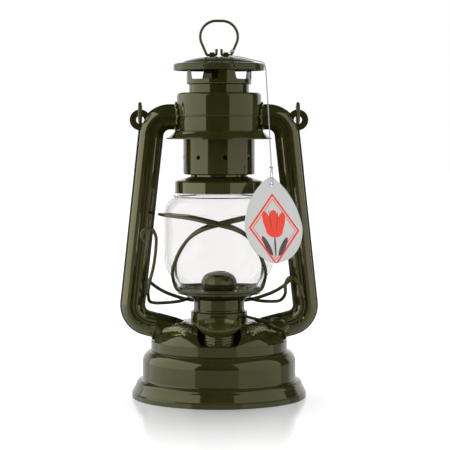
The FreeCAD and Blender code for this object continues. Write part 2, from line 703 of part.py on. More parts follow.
def guard_wires():
    wire, low = s.guard_wire, float(s.plate_rim)
    run = float(s.plate_rim_radius + wire + s.slide_gap)
    clear = float(wire) + 1.1
    for label, side, bow in (("guard_wire_left", 1, 0.0), ("guard_wire_right", -1, float(wire) * 2.4)):
        front = [Vector(-float(s.seat_gap) / 2, -run - 0.3, low), Vector(-5.0, -run - 0.3, low)]
        front += [around(run + 0.5, azimuth, low) for azimuth in (-112, -128, -143)]
        front.append(around(run + 0.6, -157, low + 0.9))
        for azimuth, height in GUARD_LEG + GUARD_SIDE:
            out = clear + bow * math.exp(-((azimuth + 91.0) / 22.0) ** 2)
            out += max(0.0, (azimuth + 90.0) / 90.0) * 1.6
            front.append(around(globe_skin(height) + out, azimuth, height))
        lower = float(s.guard_dip) / float(s.globe_radius)
        back = [Vector(p.x, -p.y, p.z + (p.y * lower if p.z > s.globe_low.value else 0.0))
                for p in reversed(front[:-1])]
        path, radii = rounded_path([Vector(side * p.x, p.y, p.z) for p in front + back])
        feature(label, wire_solid(path, float(wire)))


# The lift wire lies in the lamp's front plane: it hooks into the right tube, runs under the globe
# plate round the back of the air chamber, and ends in a finger loop in front of the left tube.
LIFT_RIGHT = [(60.6, -12.2, 84.0), (56.2, -12.2, 90.5),
              (51.6, -11.6, 90.6), (49.2, -10.0, 85.0), (50.0, -7.4, 77.6), (46.2, -3.6, 72.0),
              (38.0, 0.4, 71.2), (29.0, 3.0, 71.6)]
LIFT_LEFT = [(-29.0, 3.0, 71.2), (-38.0, 2.4, 70.2), (-47.6, 2.0, 69.8), (-52.6, 0.4, 71.0),
             (-53.0, -4.6, 75.6), (-53.2, -11.0, 79.4), (-51.6, -12.6, 88.0), (-48.6, -12.6, 99.0),
             (-47.0, -12.6, 111.0), (-46.6, -12.6, 121.0), (-49.4, -12.6, 127.0), (-54.6, -12.6, 127.2),
             (-58.4, -12.6, 122.8), (-55.2, -12.6, 117.2)]


def lift_wire():
    ring = float(s.neck_radius + s.lift_rod + s.lift_ring_gap)
    height = float(s.plate_bottom - s.lift_rod - s.slide_gap)
    middle = [around(ring, azimuth, height) for azimuth in (22, 44, 67, 90, 113, 136, 158)]
    pivot = Vector(float(s.lift_pivot_reach), 0, float(s.lift_pivot_height))
    inside, outside = pivot + FRONT * float(s.lift_tip), pivot + FRONT * float(s.lift_elbow)
    points = [inside, outside] + [Vector(*p) for p in LIFT_RIGHT] + middle + [Vector(*p) for p in LIFT_LEFT]
    path, radii = rounded_path(points)
    feature("lift_wire", wire_solid(path, float(s.lift_rod)))


# ---- chimney group -----------------------------------------------------------------------------

def chimney():
    wall = s.sheet_wall
    foot = s.globe_top + s.seat_gap
    collar = [
        (s.collar_radius, foot), (s.collar_radius, s.collar_top - wall),
        (s.collar_radius - wall, s.collar_top), (s.waist_radius, s.waist_height),
        (s.waist_radius, s.chimney_bottom), (s.waist_radius - wall, s.chimney_bottom),
        (s.waist_radius - wall, s.waist_height - wall),
        (s.collar_radius - wall, s.collar_top - wall * 2), (s.collar_radius - wall, foot),
    ]
    keep("globe_collar", lathe("globe_collar_body", collar))
    base = s.chimney_bottom + s.seat_gap
    tube = [
        (s.waist_radius - wall, base), (s.chimney_radius - wall, base), (s.chimney_radius, base + wall),
        (s.chimney_radius, s.chimney_shoulder), (s.stack_radius, s.stack_bottom),
        (s.stack_radius, s.stack_top), (s.stack_radius - wall, s.stack_top),
        (s.stack_radius - wall, s.stack_bottom - wall / 2),
        (s.chimney_radius - wall, s.chimney_shoulder - wall / 2), (s.chimney_radius - wall, base + wall),
        (s.waist_radius - wall, base + wall),
    ]
    body = lathe("chimney_tube_body", tube)
    punch(body, "chimney_air", 8,
          lambda sketch: draw_circle(sketch, 0, s.chimney_hole_height, s.chimney_hole),
          s.chimney_radius * 2, s.chimney_hole_turn)
    keep("chimney_tube", body)


def vent_ring():
    wall = s.sheet_wall
    base = s.stack_top + s.seat_gap
    outline = [
        (s.stack_radius - wall, base), (s.stack_radius + s.seat_gap, base),
        (s.stack_radius + s.seat_gap, s.vent_bottom), (s.vent_radius - s.vent_round, s.vent_bottom),
        (s.vent_radius, s.vent_bottom + s.vent_round, s.vent_round), (s.vent_radius, s.vent_rim),
        (s.vent_radius - wall, s.vent_rim), (s.vent_radius - wall, base + wall),
        (s.stack_radius - wall, base + wall),
    ]
    body = lathe("vent_ring_body", outline)
    half, foot, low, high = s.window_half, s.window_foot, s.window_bottom, s.vent_top + wall
    corner = wall * 2
    window = [
        (-half, high), (-foot, low + corner), (corner - foot, low, corner), (foot - corner, low),
        (foot, low + corner, corner), (half, high),
    ]
    punch(body, "window", 4, lambda sketch: draw(sketch, window), s.vent_radius * 2, s.window_turn + 45.0)
    keep("vent_ring", body)


def chimney_cap():
    wall = s.sheet_wall
    base = s.vent_top + s.seat_gap
    brim, curl, rim_top = s.cap_brim, s.brim_round, s.vent_top + s.brim_height
    outline = [
        (brim - wall, base), (brim, base), (brim, rim_top - curl),
        (brim - curl, rim_top, curl), (s.cap_crease + wall / 2, s.crease_height),
        (s.cap_crease, s.crease_height + s.crease_step),
        (s.crown_flat, s.crown_height, s.tag_length), (0, s.crown_height), (0, s.crown_height - wall),
        (s.crown_flat, s.crown_height - wall),
        (s.cap_crease - wall / 2, s.crease_height + s.crease_step - wall, -s.tag_length),
        (brim - curl, rim_top - wall), (brim - wall, rim_top - curl, wall - curl),
    ]
    body = lathe("chimney_cap_body", outline)
    for name, turn in (("notch_left", s.notch_turn * -1), ("notch_right", s.notch_turn)):
        low, high = rim_top - curl - s.notch_height, rim_top - curl
        slot = [(s.notch_width * -0.5, low), (s.notch_width * 0.5, low),
                (s.notch_width * 0.5, high), (s.notch_width * -0.5, high)]
        punch(body, name, 4, lambda sketch: draw(sketch, slot), s.cap_brim * 2, turn)
    keep("chimney_cap", body)


def ring_saddles():
    width = s.saddle_outer - s.saddle_inner
    halves = []
    for side in ("left", "right"):
        start = s.saddle_inner if side == "right" else -s.saddle_outer
        foot = box("saddle_foot_" + side, width, s.saddle_radius * 2, s.ring_axle - s.crown_height,
                   start, -s.saddle_radius, s.crown_height)
        top = cylinder("saddle_top_" + side, s.saddle_radius, width, start, z=s.ring_axle)
        top.Placement = Placement(Vector(), Rotation(Vector(0, 1, 0), 90))
        place(top, start, z=s.ring_axle)
        bore = cylinder("saddle_bore_" + side, s.ring_wire + s.seat_gap, width, start, z=s.ring_axle)
        bore.Placement = Placement(Vector(), Rotation(Vector(0, 1, 0), 90))
        place(bore, start, z=s.ring_axle)
        below = box("saddle_below_" + side, width, s.saddle_radius * 2, s.saddle_radius,
                    start, -s.saddle_radius, s.crown_height - s.saddle_radius)
        halves.append(cut("saddle_" + side, fuse("saddle_" + side, foot, top), bore, below))
    pair = doc.addObject("Part::Compound", "saddle_pair")
    pair.Links = halves
    keep("ring_saddles", pair)


def lift_ring():
    """A wire handle with a rounded top; its ends turn in through the saddles and up."""
    bend, axle = float(s.ring_bend), float(s.ring_axle)
    foot = Vector(float(s.ring_foot), 0, axle)
    centre = Vector(float(s.ring_half - s.ring_bend), 0, float(s.ring_top - s.ring_bend))
    across = centre - foot
    slope = math.atan2(across.z, across.x) - math.asin(bend / across.Length)
    onward = Vector(math.cos(slope), 0, math.sin(slope))
    corner = foot + onward * math.sqrt(across.Length ** 2 - bend ** 2)
    middle = centre + Vector(math.cos(math.pi / 4), 0, math.sin(math.pi / 4)) * bend
    crown = centre + UP * bend
    stub = Vector(float(s.ring_stub), 0, axle)
    tip = Vector(float(s.ring_stub), 0, float(s.ring_stub_top))
    edges = [Part.LineSegment(crown, Vector(-crown.x, 0, crown.z)).toShape()]
    for side in (1, -1):
        leg, radii = rounded_path([across_lamp(p, side) for p in (tip, stub, foot, corner)],
                                  float(s.ring_wire) * 1.2)
        edges += leg.Edges
        edges.append(Part.Arc(*[across_lamp(p, side) for p in (corner, middle, crown)]).toShape())
    path = Part.Wire(Part.__sortEdges__(edges))
    feature("lift_ring", wire_solid(path, float(s.ring_wire)))


def across_lamp(point, side):
    """The point itself for side 1, and its mirror image across the lamp for side -1."""
    return Vector(side * point.x, point.y, point.z)


# ---- hood and spring ---------------------------------------------------------------------------

def hood():
    wall = s.sheet_wall
    body = [
        (s.hood_flange, s.hood_bottom), (s.hood_flange, s.hood_bottom + wall),
        (s.hood_flare, s.flare_height, -s.flare_round), (s.hood_radius, s.flare_height + wall),
        (s.hood_radius, s.hood_seam - s.seat_gap), (s.hood_radius - wall, s.hood_seam - s.seat_gap),
        (s.hood_radius - wall, s.flare_height), (s.hood_flare - wall, s.flare_height - wall),
        (s.hood_flange - wall, s.hood_bottom, s.flare_round),
    ]
    ports = [hood_port("hood_port_" + side, side) for side in ("left", "right")]
    keep("hood_body", cut("hood_body", lathe("hood_body_body", body), *ports))
    hole = s.stack_radius + s.slide_gap
    top = [
        (s.hood_radius - wall, s.hood_seam), (s.hood_top_radius - s.seat_gap, s.hood_seam),
        (s.hood_top_radius - s.seat_gap, s.hood_seam + s.hood_bead * 2, s.hood_bead),
        (s.hood_top_radius, s.hood_top - s.hood_round),
        (s.hood_top_radius - s.hood_round, s.hood_top, s.hood_round), (hole, s.hood_top),
        (hole, s.hood_top - wall), (s.hood_top_radius - s.hood_round, s.hood_top - wall),
        (s.hood_top_radius - wall, s.hood_top - s.hood_round, wall - s.hood_round),
        (s.hood_top_radius - wall, s.hood_seam + wall), (s.hood_radius - wall, s.hood_seam + wall),
    ]
    ports = [hood_port("hood_top_port_" + side, side) for side in ("left", "right")]
    keep("hood_cover", cut("hood_cover", lathe("hood_cover_body", top), *ports))


def hood_port(name, side):
    """The opening where a side tube's stub meets the hood."""
    port = cylinder(name, s.air_port, s.hood_flange, z=s.tube_top)
    port.Placement = Placement(Vector(), Rotation(Vector(0, 1, 0), 90 if side == "right" else -90))
    place(port, z=s.tube_top)
    return port


def chimney_spring():
    """Presses the chimney down on the globe, between its shoulder and the hood's top."""
    low = s.stack_bottom + s.spring_wire + s.slide_gap
    high = s.hood_top - s.sheet_wall - s.spring_wire - s.slide_gap / 2
    pitch = (high - low) / s.spring_turns
    path = Part.makeHelix(float(pitch), float(high - low), float(s.spring_radius))
    path.translate(UP * float(low))
    start = Vector(float(s.spring_radius), 0, float(low))
    onward = Vector(0, 2 * math.pi * float(s.spring_radius), float(pitch))
    ring = Part.Wire(Part.makeCircle(float(s.spring_wire), start, onward))
    feature("chimney_spring", Part.Wire(path.Edges).makePipeShell([ring], True, True))


# ---- side air tubes ----------------------------------------------------------------------------

def tube_section(sketch, inset):
    """Half of the tube's section: two lobes with a crease between, and a flange at each edge."""
    edge, lip = s.tube_half_width, s.tube_flange
    deep = s.tube_half_depth - inset
    high, low = s.tube_top + edge, s.tube_top - edge
    foot = s.sheet_wall - inset
    ends = [(foot if inset == 0 else as_size(0), high - lip - inset),
            (foot if inset == 0 else as_size(0), low + lip + inset)]
    lobes = [
        (deep * 0.62, high - lip - inset - edge * 0.07, -s.tube_half_depth),
        (deep, s.tube_top + edge * 0.42, -s.tube_half_depth), (deep, s.tube_top + edge * 0.18),
        (s.tube_crease - inset, s.tube_top - edge * 0.04), (s.tube_crease - inset, s.tube_top - edge * 0.14),
        (s.tube_crease + (deep - s.tube_crease) * 0.6, s.tube_top - edge * 0.28),
        (s.tube_crease + (deep - s.tube_crease) * 0.6, s.tube_top - edge * 0.44),
        (deep * 0.55, low + lip + inset + edge * 0.1, -s.tube_half_depth),
    ]
    if inset == 0:
        outline = [(0, low), (0, high), (foot, high), ends[0]]
        outline += lobes + [ends[1], (foot, low)]
    else:
        outline = [ends[1], ends[0]] + lobes
    draw(sketch, outline)


def side_tube():
    """The right back half, whose mirror images make the other three."""
    body = doc.addObject("PartDesign::Body", "tube_half_body")
    path = new_sketch(body, "tube_path", "XZ_Plane")
    draw_tube_path(path)
    for name, inset, kind in (("outer", 0, "PartDesign::AdditivePipe"),
                              ("inner", s.sheet_wall, "PartDesign::SubtractivePipe")):
        section = new_sketch(body, "tube_section_" + name, "YZ_Plane", s.tube_start)
        tube_section(section, inset)
        pipe = body.newObject(kind, "tube_pipe_" + name)
        pipe.Profile = section
        pipe.Spine = (path, ["Edge%d" % n for n in range(1, 6)])
        body.Tip = pipe
        if name == "outer":
            add_ear(body)
    hole = new_sketch(body, "ear_hole_outline", "XZ_Plane")
    draw_circle(hole, s.ear_reach, s.ear_height, s.ear_hole)
    pocket = body.newObject("PartDesign::Pocket", "ear_hole_pocket")
    pocket.Profile = hole
    pocket.Midplane = True
    bind(pocket, "Length", s.tube_half_depth * 4)
    body.Tip = pocket
    return body


def add_ear(body):
    sketch = new_sketch(body, "ear_outline", "XZ_Plane")
    draw_circle(sketch, s.ear_reach, s.ear_height, s.ear_radius)
    pad = body.newObject("PartDesign::Pad", "ear_pad")
    pad.Profile = sketch
    pad.Reversed = True
    bind(pad, "Length", s.sheet_wall)
    body.Tip = pad


def draw_tube_path(sketch):
    """Out of the hood, round the top corner, down the leaning leg and in to the tank."""
    end_height = s.tube_low - s.tube_slope * (s.tube_lean_bottom - s.tube_end)
    corners = [(s.tube_start, s.tube_top), (s.tube_corner, s.tube_top),
               (s.tube_lean_bottom, s.tube_low), (s.tube_end, end_height)]
    draw_tangent_path(sketch, corners, [s.tube_top_bend, s.tube_low_bend])


def draw_tangent_path(sketch, corners, bends):
    """Lines along fixed guides, joined by tangent arcs that turn right."""
    points = [Vector(float(x), float(y), 0) for x, y in corners]
    guides = [sketch.addGeometry(Part.LineSegment(*pair), True) for pair in zip(points, points[1:])]
    for guide, here, there in zip(guides, corners, corners[1:]):
        fix_point(sketch, guide, 1, *here)
        fix_point(sketch, guide, 2, *there)
    at, runs, arcs = points[0], [], []
    for corner, before, after, bend in zip(points[1:], points, points[2:], bends):
        into, out = (corner - before).normalize(), (after - corner).normalize()
        reach = float(bend) * math.tan(into.getAngle(out) / 2)
        start, end = corner - into * reach, corner + out * reach
        runs.append(sketch.addGeometry(Part.LineSegment(at, start)))
        arcs.append(sketch.addGeometry(arc_between(start, end, -float(bend))))
        at = end
    runs.append(sketch.addGeometry(Part.LineSegment(at, points[-1])))

    def constrain(*values):
        return sketch.addConstraint(Sketcher.Constraint(*values))

    constrain("Coincident", runs[0], 1, guides[0], 1)
    constrain("Coincident", runs[-1], 2, guides[-1], 2)
    for number, (arc, bend) in enumerate(zip(arcs, bends)):
        constrain("PointOnObject", runs[number], 2, guides[number])
        constrain("PointOnObject", runs[number + 1], 1, guides[number + 1])
        constrain("Tangent", runs[number], 2, arc, 2)
        constrain("Tangent", arc, 1, runs[number + 1], 1)
        index = constrain("Radius", arc, float(bend))
        bind(sketch, "Constraints[%d]" % index, bend)


def side_tubes():
    half = side_tube()
    hood_tool = cylinder("tube_hood_cut", s.hood_top_radius + s.hood_bead, s.hood_top)
    dome_tool = lathe("tube_dome_cut_body", dome_outline(s.seat_gap))
    native = cut("tube_right_back", half, hood_tool, dome_tool)
    keep("tube_right_back", native)
    front = mirrored("tube_right_front_mirror", native, Vector(0, 1, 0))
    anchor = cylinder("lift_wire_hole", s.lift_rod + s.slide_gap, s.tube_half_depth * 2)
    anchor.Placement = Placement(Vector(), Rotation(Vector(1, 0, 0), 90))
    place(anchor, s.lift_pivot_reach, 0, s.lift_pivot_height)
    keep("tube_right_front", cut("tube_right_front", front, anchor))
    keep("tube_left_back", mirrored("tube_left_back_mirror", native, Vector(1, 0, 0)))
    keep("tube_left_front", mirrored("tube_left_front_mirror", front, Vector(1, 0, 0)))


# ---- bail --------------------------------------------------------------------------------------

# Half of the bail as reach from the lamp's middle and drop below the eye, when it hangs straight.
BAIL_HALF = [(59.0, -4.0), (59.4, -14.0), (66.5, -116.0), (60.5, -133.0), (46.5, -146.5), (24.0, -155.3)]
EYE_TURN = math.radians(322)


def bail():
    """A wire handle with an eye at each end round the tubes' ears, hanging down behind."""
    reach, eye = float(s.ear_reach), float(s.bail_eye)
    height = float(s.ear_height - s.ear_hole + s.bail_wire + s.bail_eye + s.bail_gap)
    half = [Vector(x, eye, z) for x, z in BAIL_HALF]
    path, radii = rounded_path(half + [across_lamp(p, -1) for p in reversed(half)])
    ends = []
    for side in (1, -1):
        join = Vector(side * reach, eye, 0)
        straight = Part.LineSegment(join, across_lamp(half[0], side)).toShape()
        around_ear = [Vector(side * reach, eye * math.cos(a), eye * math.sin(a))
                      for a in (EYE_TURN / 2, EYE_TURN)]
        ends.append([straight, Part.Arc(join, *around_ear).toShape()])
    route = Part.Wire(Part.__sortEdges__(ends[0] + path.Edges + ends[1]))
    solid = wire_solid(route, float(s.bail_wire))
    solid.rotate(Vector(), Vector(1, 0, 0), float(s.bail_lean))
    solid.translate(UP * height)
    feature("bail", solid)


# ---- hang tag ----------------------------------------------------------------------------------

def hang_tag():
    """A drop-shaped card that leans on the guard wire in front of the right tube."""
    half, tip, drop = s.tag_width / 2, s.tag_tip, s.tag_hole_drop
    body = doc.addObject("PartDesign::Body", "tag_body")
    sketch = new_sketch(body, "tag_outline", "XZ_Plane")
    outline = [
        (-tip, drop - tip * 0.6, tip * 1.4), (-half, drop - s.tag_waist, s.tag_side_round),
        (0, drop - s.tag_length, s.tag_low_round), (half, drop - s.tag_waist, s.tag_low_round),
        (tip, drop - tip * 0.6, s.tag_side_round),
    ]
    draw(sketch, outline)
    pad = body.newObject("PartDesign::Pad", "tag_pad")
    pad.Profile = sketch
    pad.Midplane = True
    bind(pad, "Length", s.tag_thick)
    body.Tip = pad
    hole = new_sketch(body, "tag_hole_outline", "XZ_Plane")
    draw_circle(hole, 0, 0, s.tag_hole)
    pocket = body.newObject("PartDesign::Pocket", "tag_hole_pocket")
    pocket.Profile = hole
    pocket.Midplane = True
    bind(pocket, "Length", s.tag_thick * 4)
    body.Tip = pocket
    body.Placement = Placement(Vector(), tag_rotation())
    place(body, s.tag_reach, -s.tag_front, s.tag_height)
    keep("hang_tag", body)


def tag_rotation():
    """In its own plane, then leaning out at the foot, then turned to face right of the front."""
    roll = Rotation(Vector(0, 1, 0), float(-s.tag_roll))
    tilt = Rotation(Vector(1, 0, 0), float(-s.tag_tilt))
    return Rotation(UP, float(s.tag_turn)) * tilt * roll


# The string's route from the ring's foot over the cap's edge and past the hood's flange.
STRING = [(7.4, -2.3, 255.6), (14.0, -3.4, 254.9), (21.6, -4.6, 253.2), (27.4, -5.4, 251.7),
          (33.2, -6.3, 250.5), (34.4, -6.8, 247.6), (35.2, -7.4, 241.0)]
KNOT = Vector(38.7, -18.9, 172.6)


def tag_string():
    """String, knot and the loop that passes through the tag's hole."""
    corners = [Vector(*p) for p in STRING]
    onward = (KNOT - corners[-1]).normalize()
    reach = onward * float(s.knot_height / 2)
    path, radii = rounded_path(corners + [KNOT - reach - onward * float(s.seat_gap)])
    cord("tag_string", path, radii)
    knot = Part.makeCylinder(float(s.knot_radius), float(s.knot_height), KNOT - reach, onward)
    feature("string_knot", knot.makeFillet(0.4, [e for e in knot.Edges if e.Closed]))
    hole = Vector(float(s.tag_reach), -float(s.tag_front), float(s.tag_height))
    facing = tag_rotation().multVec(FRONT)
    fall = (hole - KNOT).normalize()
    aside = facing * 0.62
    top = KNOT + reach + onward * float(s.seat_gap)
    loop = [top + aside, top + aside + onward * 1.6, hole + facing * 1.9 - fall * 4.0, hole + facing * 1.7,
            hole + fall * 0.45, hole - facing * 1.7, hole - facing * 1.9 - fall * 4.0,
            top - aside + onward * 1.6, top - aside]
    path, radii = rounded_path(loop)
    cord("tag_loop", path, radii)


def cord(label, path, radii):
    """A soft round cord; its volume is its section times its length."""
    solid = feature(label, wire_solid(path, float(s.string_radius))).Shape
    expected = math.pi * float(s.string_radius) ** 2 * path.Length
    print("%s length %.1f volume %.3f of %.3f radii %s"
          % (label, path.Length, solid.Volume, expected, " ".join("%.1f" % r for r in radii)))


# ---- build, check and write --------------------------------------------------------------------

def check():
    doc.recompute()
    for obj in doc.Objects:
        if {"Invalid", "Error"} & set(obj.State):
            raise RuntimeError("%s failed: %s" % (obj.Label, obj.State))
    for label, obj in parts.items():
        if obj.Shape.isNull() or not obj.Shape.isValid() or not obj.Shape.Solids:
            raise RuntimeError(label + " has no valid shape")


def write():
    os.makedirs("parts", exist_ok=True)
    for label, obj in parts.items():
        obj.Shape.exportStep("parts/%s.step" % label)


BUILDERS = [tank_shell, tank_bottom, tank_lid, dome_top, filler_neck, filler_cap, air_chamber, burner,
            wick_works, globe_plate, globe, guard_wires, lift_wire, chimney, vent_ring, chimney_cap,
            ring_saddles, lift_ring, hood, chimney_spring, side_tubes, bail, hang_tag, tag_string]
for build in BUILDERS:
    build()
check()
write()
print("parts written:", len(parts))
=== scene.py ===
import math

import bpy
import numpy as np
from mathutils import Euler, Matrix, Vector


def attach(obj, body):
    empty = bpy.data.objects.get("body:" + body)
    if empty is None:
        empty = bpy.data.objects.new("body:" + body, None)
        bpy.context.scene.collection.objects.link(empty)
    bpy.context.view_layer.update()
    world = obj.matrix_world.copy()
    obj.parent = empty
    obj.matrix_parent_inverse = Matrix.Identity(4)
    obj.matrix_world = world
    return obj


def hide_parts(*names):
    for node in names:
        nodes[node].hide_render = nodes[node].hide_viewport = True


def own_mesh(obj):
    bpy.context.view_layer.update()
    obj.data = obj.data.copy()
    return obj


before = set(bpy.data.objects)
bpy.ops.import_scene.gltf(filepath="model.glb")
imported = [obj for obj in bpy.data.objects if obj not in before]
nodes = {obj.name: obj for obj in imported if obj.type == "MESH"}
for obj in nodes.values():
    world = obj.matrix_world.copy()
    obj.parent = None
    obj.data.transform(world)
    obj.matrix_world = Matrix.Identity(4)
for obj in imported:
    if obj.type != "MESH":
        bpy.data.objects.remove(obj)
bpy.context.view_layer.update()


# ---- camera ------------------------------------------------------------------------------------
# A long lens stands well in front of the lamp, a little above its middle, and looks slightly down
# on it, so that upright edges stay nearly upright.
EYE = (0.0, -1.28, 0.205)
LOOK_DOWN = math.radians(3.4)
LOOK_RIGHT = math.radians(0.2)
LENS, SENSOR, FARTHEST = 136.6, 36.0, 20.0

lens = bpy.data.cameras.new("camera")
lens.lens = LENS
lens.sensor_width = SENSOR
lens.clip_end = FARTHEST
camera = bpy.data.objects.new("camera", lens)
camera.location = EYE
camera.rotation_euler = Euler((math.pi / 2 - LOOK_DOWN, 0.0, -LOOK_RIGHT))
bpy.context.scene.collection.objects.link(camera)
bpy.context.scene.camera = camera
bpy.context.scene.view_settings.view_transform = "Standard"


# ---- studio ------------------------------------------------------------------------------------
# A white glazed floor, two tall soft boxes left and right of the front, and a white wall behind.
# To the camera and in the glass the floor glows white. The glow fades towards the foot, which
# paints a pool of shade on the floor round the lamp.
FLOOR_HALF = 6.0
FLOOR_WHITE = (0.66, 0.66, 0.66, 1.0)
WHITE = (1.0, 1.0, 1.0, 1.0)
POOL_SHIFT = (0.0, 0.06, 0.0)
POOL_INNER, POOL_OUTER = 0.012, 0.15
GLOW_LEAST, GLOW_MOST = 0.02, 0.5


def node(tree, kind, **settings):
    """Adds a shader node; capitalised settings are socket values, the others its options."""
    made = tree.nodes.new("ShaderNode" + kind)
    for name, value in settings.items():
        if name[0].isupper():
            made.inputs[name.replace("_", " ")].default_value = value
        else:
            setattr(made, name, value)
    return made


def join(tree, *pairs):
    """Links the output in each pair to the input beside it."""
    for source, target in pairs:
        tree.links.new(source, target)


def new_material(name):
    """An empty node material; returns it with its tree and its output node."""
    made = bpy.data.materials.new(name)
    made.use_nodes = True
    made.node_tree.nodes.clear()
    return made, made.node_tree, node(made.node_tree, "OutputMaterial")


def mesh_object(name, points, faces, material):
    """A mesh object in the lamp's own place, shaded smooth."""
    mesh = bpy.data.meshes.new(name)
    mesh.from_pydata(np.asarray(points).tolist(), [], faces)
    mesh.shade_smooth()
    mesh.materials.append(material)
    made = bpy.data.objects.new(name, mesh)
    bpy.context.scene.collection.objects.link(made)
    return made


glaze, tree, output = new_material("floor_glaze")
surface = node(tree, "BsdfPrincipled", Base_Color=FLOOR_WHITE, Roughness=0.15, IOR=1.5)
glow = node(tree, "Emission", Color=WHITE)
seen = node(tree, "LightPath")
place = node(tree, "TexCoord")
# Painted shade: the glow is least near the foot and grows outwards, darkening the floor round it.
from_foot = node(tree, "VectorMath", operation="ADD")
from_foot.inputs[1].default_value = POOL_SHIFT
away = node(tree, "VectorMath", operation="LENGTH")
shade_pool = node(tree, "MapRange", From_Min=POOL_INNER, From_Max=POOL_OUTER,
            To_Min=GLOW_LEAST, To_Max=GLOW_MOST)
lift = node(tree, "Math", operation="MULTIPLY")
shown = node(tree, "Math", operation="MAXIMUM")
both = node(tree, "AddShader")
join(tree,
     (place.outputs["Object"], from_foot.inputs[0]),
     (from_foot.outputs[0], away.inputs[0]),
     (away.outputs["Value"], shade_pool.inputs["Value"]),
     (shade_pool.outputs["Result"], lift.inputs[1]),
     (seen.outputs["Is Camera Ray"], shown.inputs[0]),
     (seen.outputs["Is Transmission Ray"], shown.inputs[1]),
     (shown.outputs[0], lift.inputs[0]),
     (lift.outputs[0], glow.inputs["Strength"]),
     (surface.outputs[0], both.inputs[0]),
     (glow.outputs[0], both.inputs[1]),
     (both.outputs[0], output.inputs["Surface"]))
floor_corners = [(-FLOOR_HALF, -FLOOR_HALF, 0), (FLOOR_HALF, -FLOOR_HALF, 0),
                 (FLOOR_HALF, FLOOR_HALF, 0), (-FLOOR_HALF, FLOOR_HALF, 0)]
floor = mesh_object("floor", floor_corners, [(0, 1, 2, 3)], glaze)

LAMP_MIDDLE = Vector((0.0, 0.0, 0.14))
AIM_RAISED = 0.6


def soft_box(name, azimuth, distance, height, width, tall, radiance):
    """A lamp panel that faces the lantern; azimuth is in degrees right of the front."""
    turn = math.radians(azimuth)
    panel = bpy.data.lights.new(name, "AREA")
    panel.shape = "RECTANGLE"
    panel.size, panel.size_y = width, tall
    panel.energy = radiance * math.pi * width * tall
    made = bpy.data.objects.new(name, panel)
    made.location = (distance * math.sin(turn), -distance * math.cos(turn), height)
    aim = LAMP_MIDDLE + Vector((0, 0, (height - LAMP_MIDDLE.z) * AIM_RAISED))
    made.rotation_euler = (aim - made.location).to_track_quat("-Z", "Y").to_euler()
    made.visible_camera = False
    bpy.context.scene.collection.objects.link(made)


soft_box("left_box", azimuth=-82, distance=1.1, height=0.60, width=2.45, tall=1.9, radiance=1.5)
soft_box("right_box", azimuth=66, distance=1.1, height=0.60, width=1.80, tall=1.9, radiance=0.82)

# The white wall shows to the camera, in the glass and in the gloss from behind; the lantern's
# front mirrors a dim room, and matt surfaces get a soft even light.
ROOM_DIM, WALL_WHITE, ROOM_SOFT = 0.03, 1.0, 0.72
WALL_FROM, WALL_FULL = 0.60, 0.70
WALL_TOP, WALL_END = 0.25, 0.45

world = bpy.data.worlds.new("studio")
bpy.context.scene.world = world
world.use_nodes = True
tree = world.node_tree
tree.nodes.clear()
way = node(tree, "TexCoord")
split = node(tree, "SeparateXYZ")
wall = node(tree, "MapRange", From_Min=WALL_FROM, From_Max=WALL_FULL,
            To_Min=ROOM_DIM, To_Max=WALL_WHITE)
above = node(tree, "MapRange", From_Min=WALL_TOP, From_Max=WALL_END,
             To_Min=WALL_WHITE, To_Max=ROOM_DIM)
low_wall = node(tree, "Math", operation="MINIMUM")
seen = node(tree, "LightPath")
mirrored = node(tree, "Math", operation="MULTIPLY")
straight = node(tree, "Math", operation="MAXIMUM")
bright = node(tree, "Math", operation="MAXIMUM")
soft = node(tree, "Math", operation="MULTIPLY")
soft.inputs[1].default_value = ROOM_SOFT
strength = node(tree, "Math", operation="MAXIMUM")
back = node(tree, "Background", Color=WHITE)
end = node(tree, "OutputWorld")
join(tree,
     (way.outputs["Generated"], split.inputs[0]),
     (split.outputs["Y"], wall.inputs["Value"]),
     (split.outputs["Z"], above.inputs["Value"]),
     (wall.outputs["Result"], low_wall.inputs[0]),
     (above.outputs["Result"], low_wall.inputs[1]),
     (low_wall.outputs[0], mirrored.inputs[0]),
     (seen.outputs["Is Glossy Ray"], mirrored.inputs[1]),
     (seen.outputs["Is Camera Ray"], straight.inputs[0]),
     (seen.outputs["Is Transmission Ray"], straight.inputs[1]),
     (straight.outputs[0], bright.inputs[0]),
     (mirrored.outputs[0], bright.inputs[1]),
     (seen.outputs["Is Diffuse Ray"], soft.inputs[0]),
     (bright.outputs[0], strength.inputs[0]),
     (soft.outputs[0], strength.inputs[1]),
     (strength.outputs[0], back.inputs["Strength"]),
     (back.outputs[0], end.inputs["Surface"]))


# ---- hang tag's string -------------------------------------------------------------------------
# A thin doubled cotton thread, pale grey with a lilac cast. It is hitched round the lift ring's
# right foot, runs over the cap's edge and hangs straight to the knot above the tag.
THREAD_THICK = 0.0008
THREAD_GROOVE_SHADE, THREAD_PALE = (0.26, 0.235, 0.26, 1.0), (0.60, 0.57, 0.60, 1.0)
STRING_ROUTE = [
    (0.0074, -0.0023, 0.2556), (0.0140, -0.0034, 0.2549), (0.0216, -0.0046, 0.2532),
    (0.0274, -0.0054, 0.2517), (0.0332, -0.0063, 0.2505), (0.0344, -0.0068, 0.2476),
    (0.0352, -0.0074, 0.2410), (0.0386, -0.0186, 0.1738),
]
LOOP_ROUTE = [
    (0.0391, -0.0195, 0.1713), (0.0396, -0.0208, 0.1690), (0.0397, -0.0246, 0.1640),
    (0.0398, -0.0247, 0.1603), (0.0386, -0.0232, 0.1598), (0.0376, -0.0217, 0.1603),
    (0.0375, -0.0212, 0.1640), (0.0385, -0.0192, 0.1690), (0.0383, -0.0186, 0.1713),
]


def ramp(tree, low, high, start=0.0, end=1.0):
    """A colour ramp from one colour at start to another at end."""
    made = node(tree, "ValToRGB")
    for stop, position, colour in zip(made.color_ramp.elements, (start, end), (low, high)):
        stop.position, stop.color = position, colour
    return made


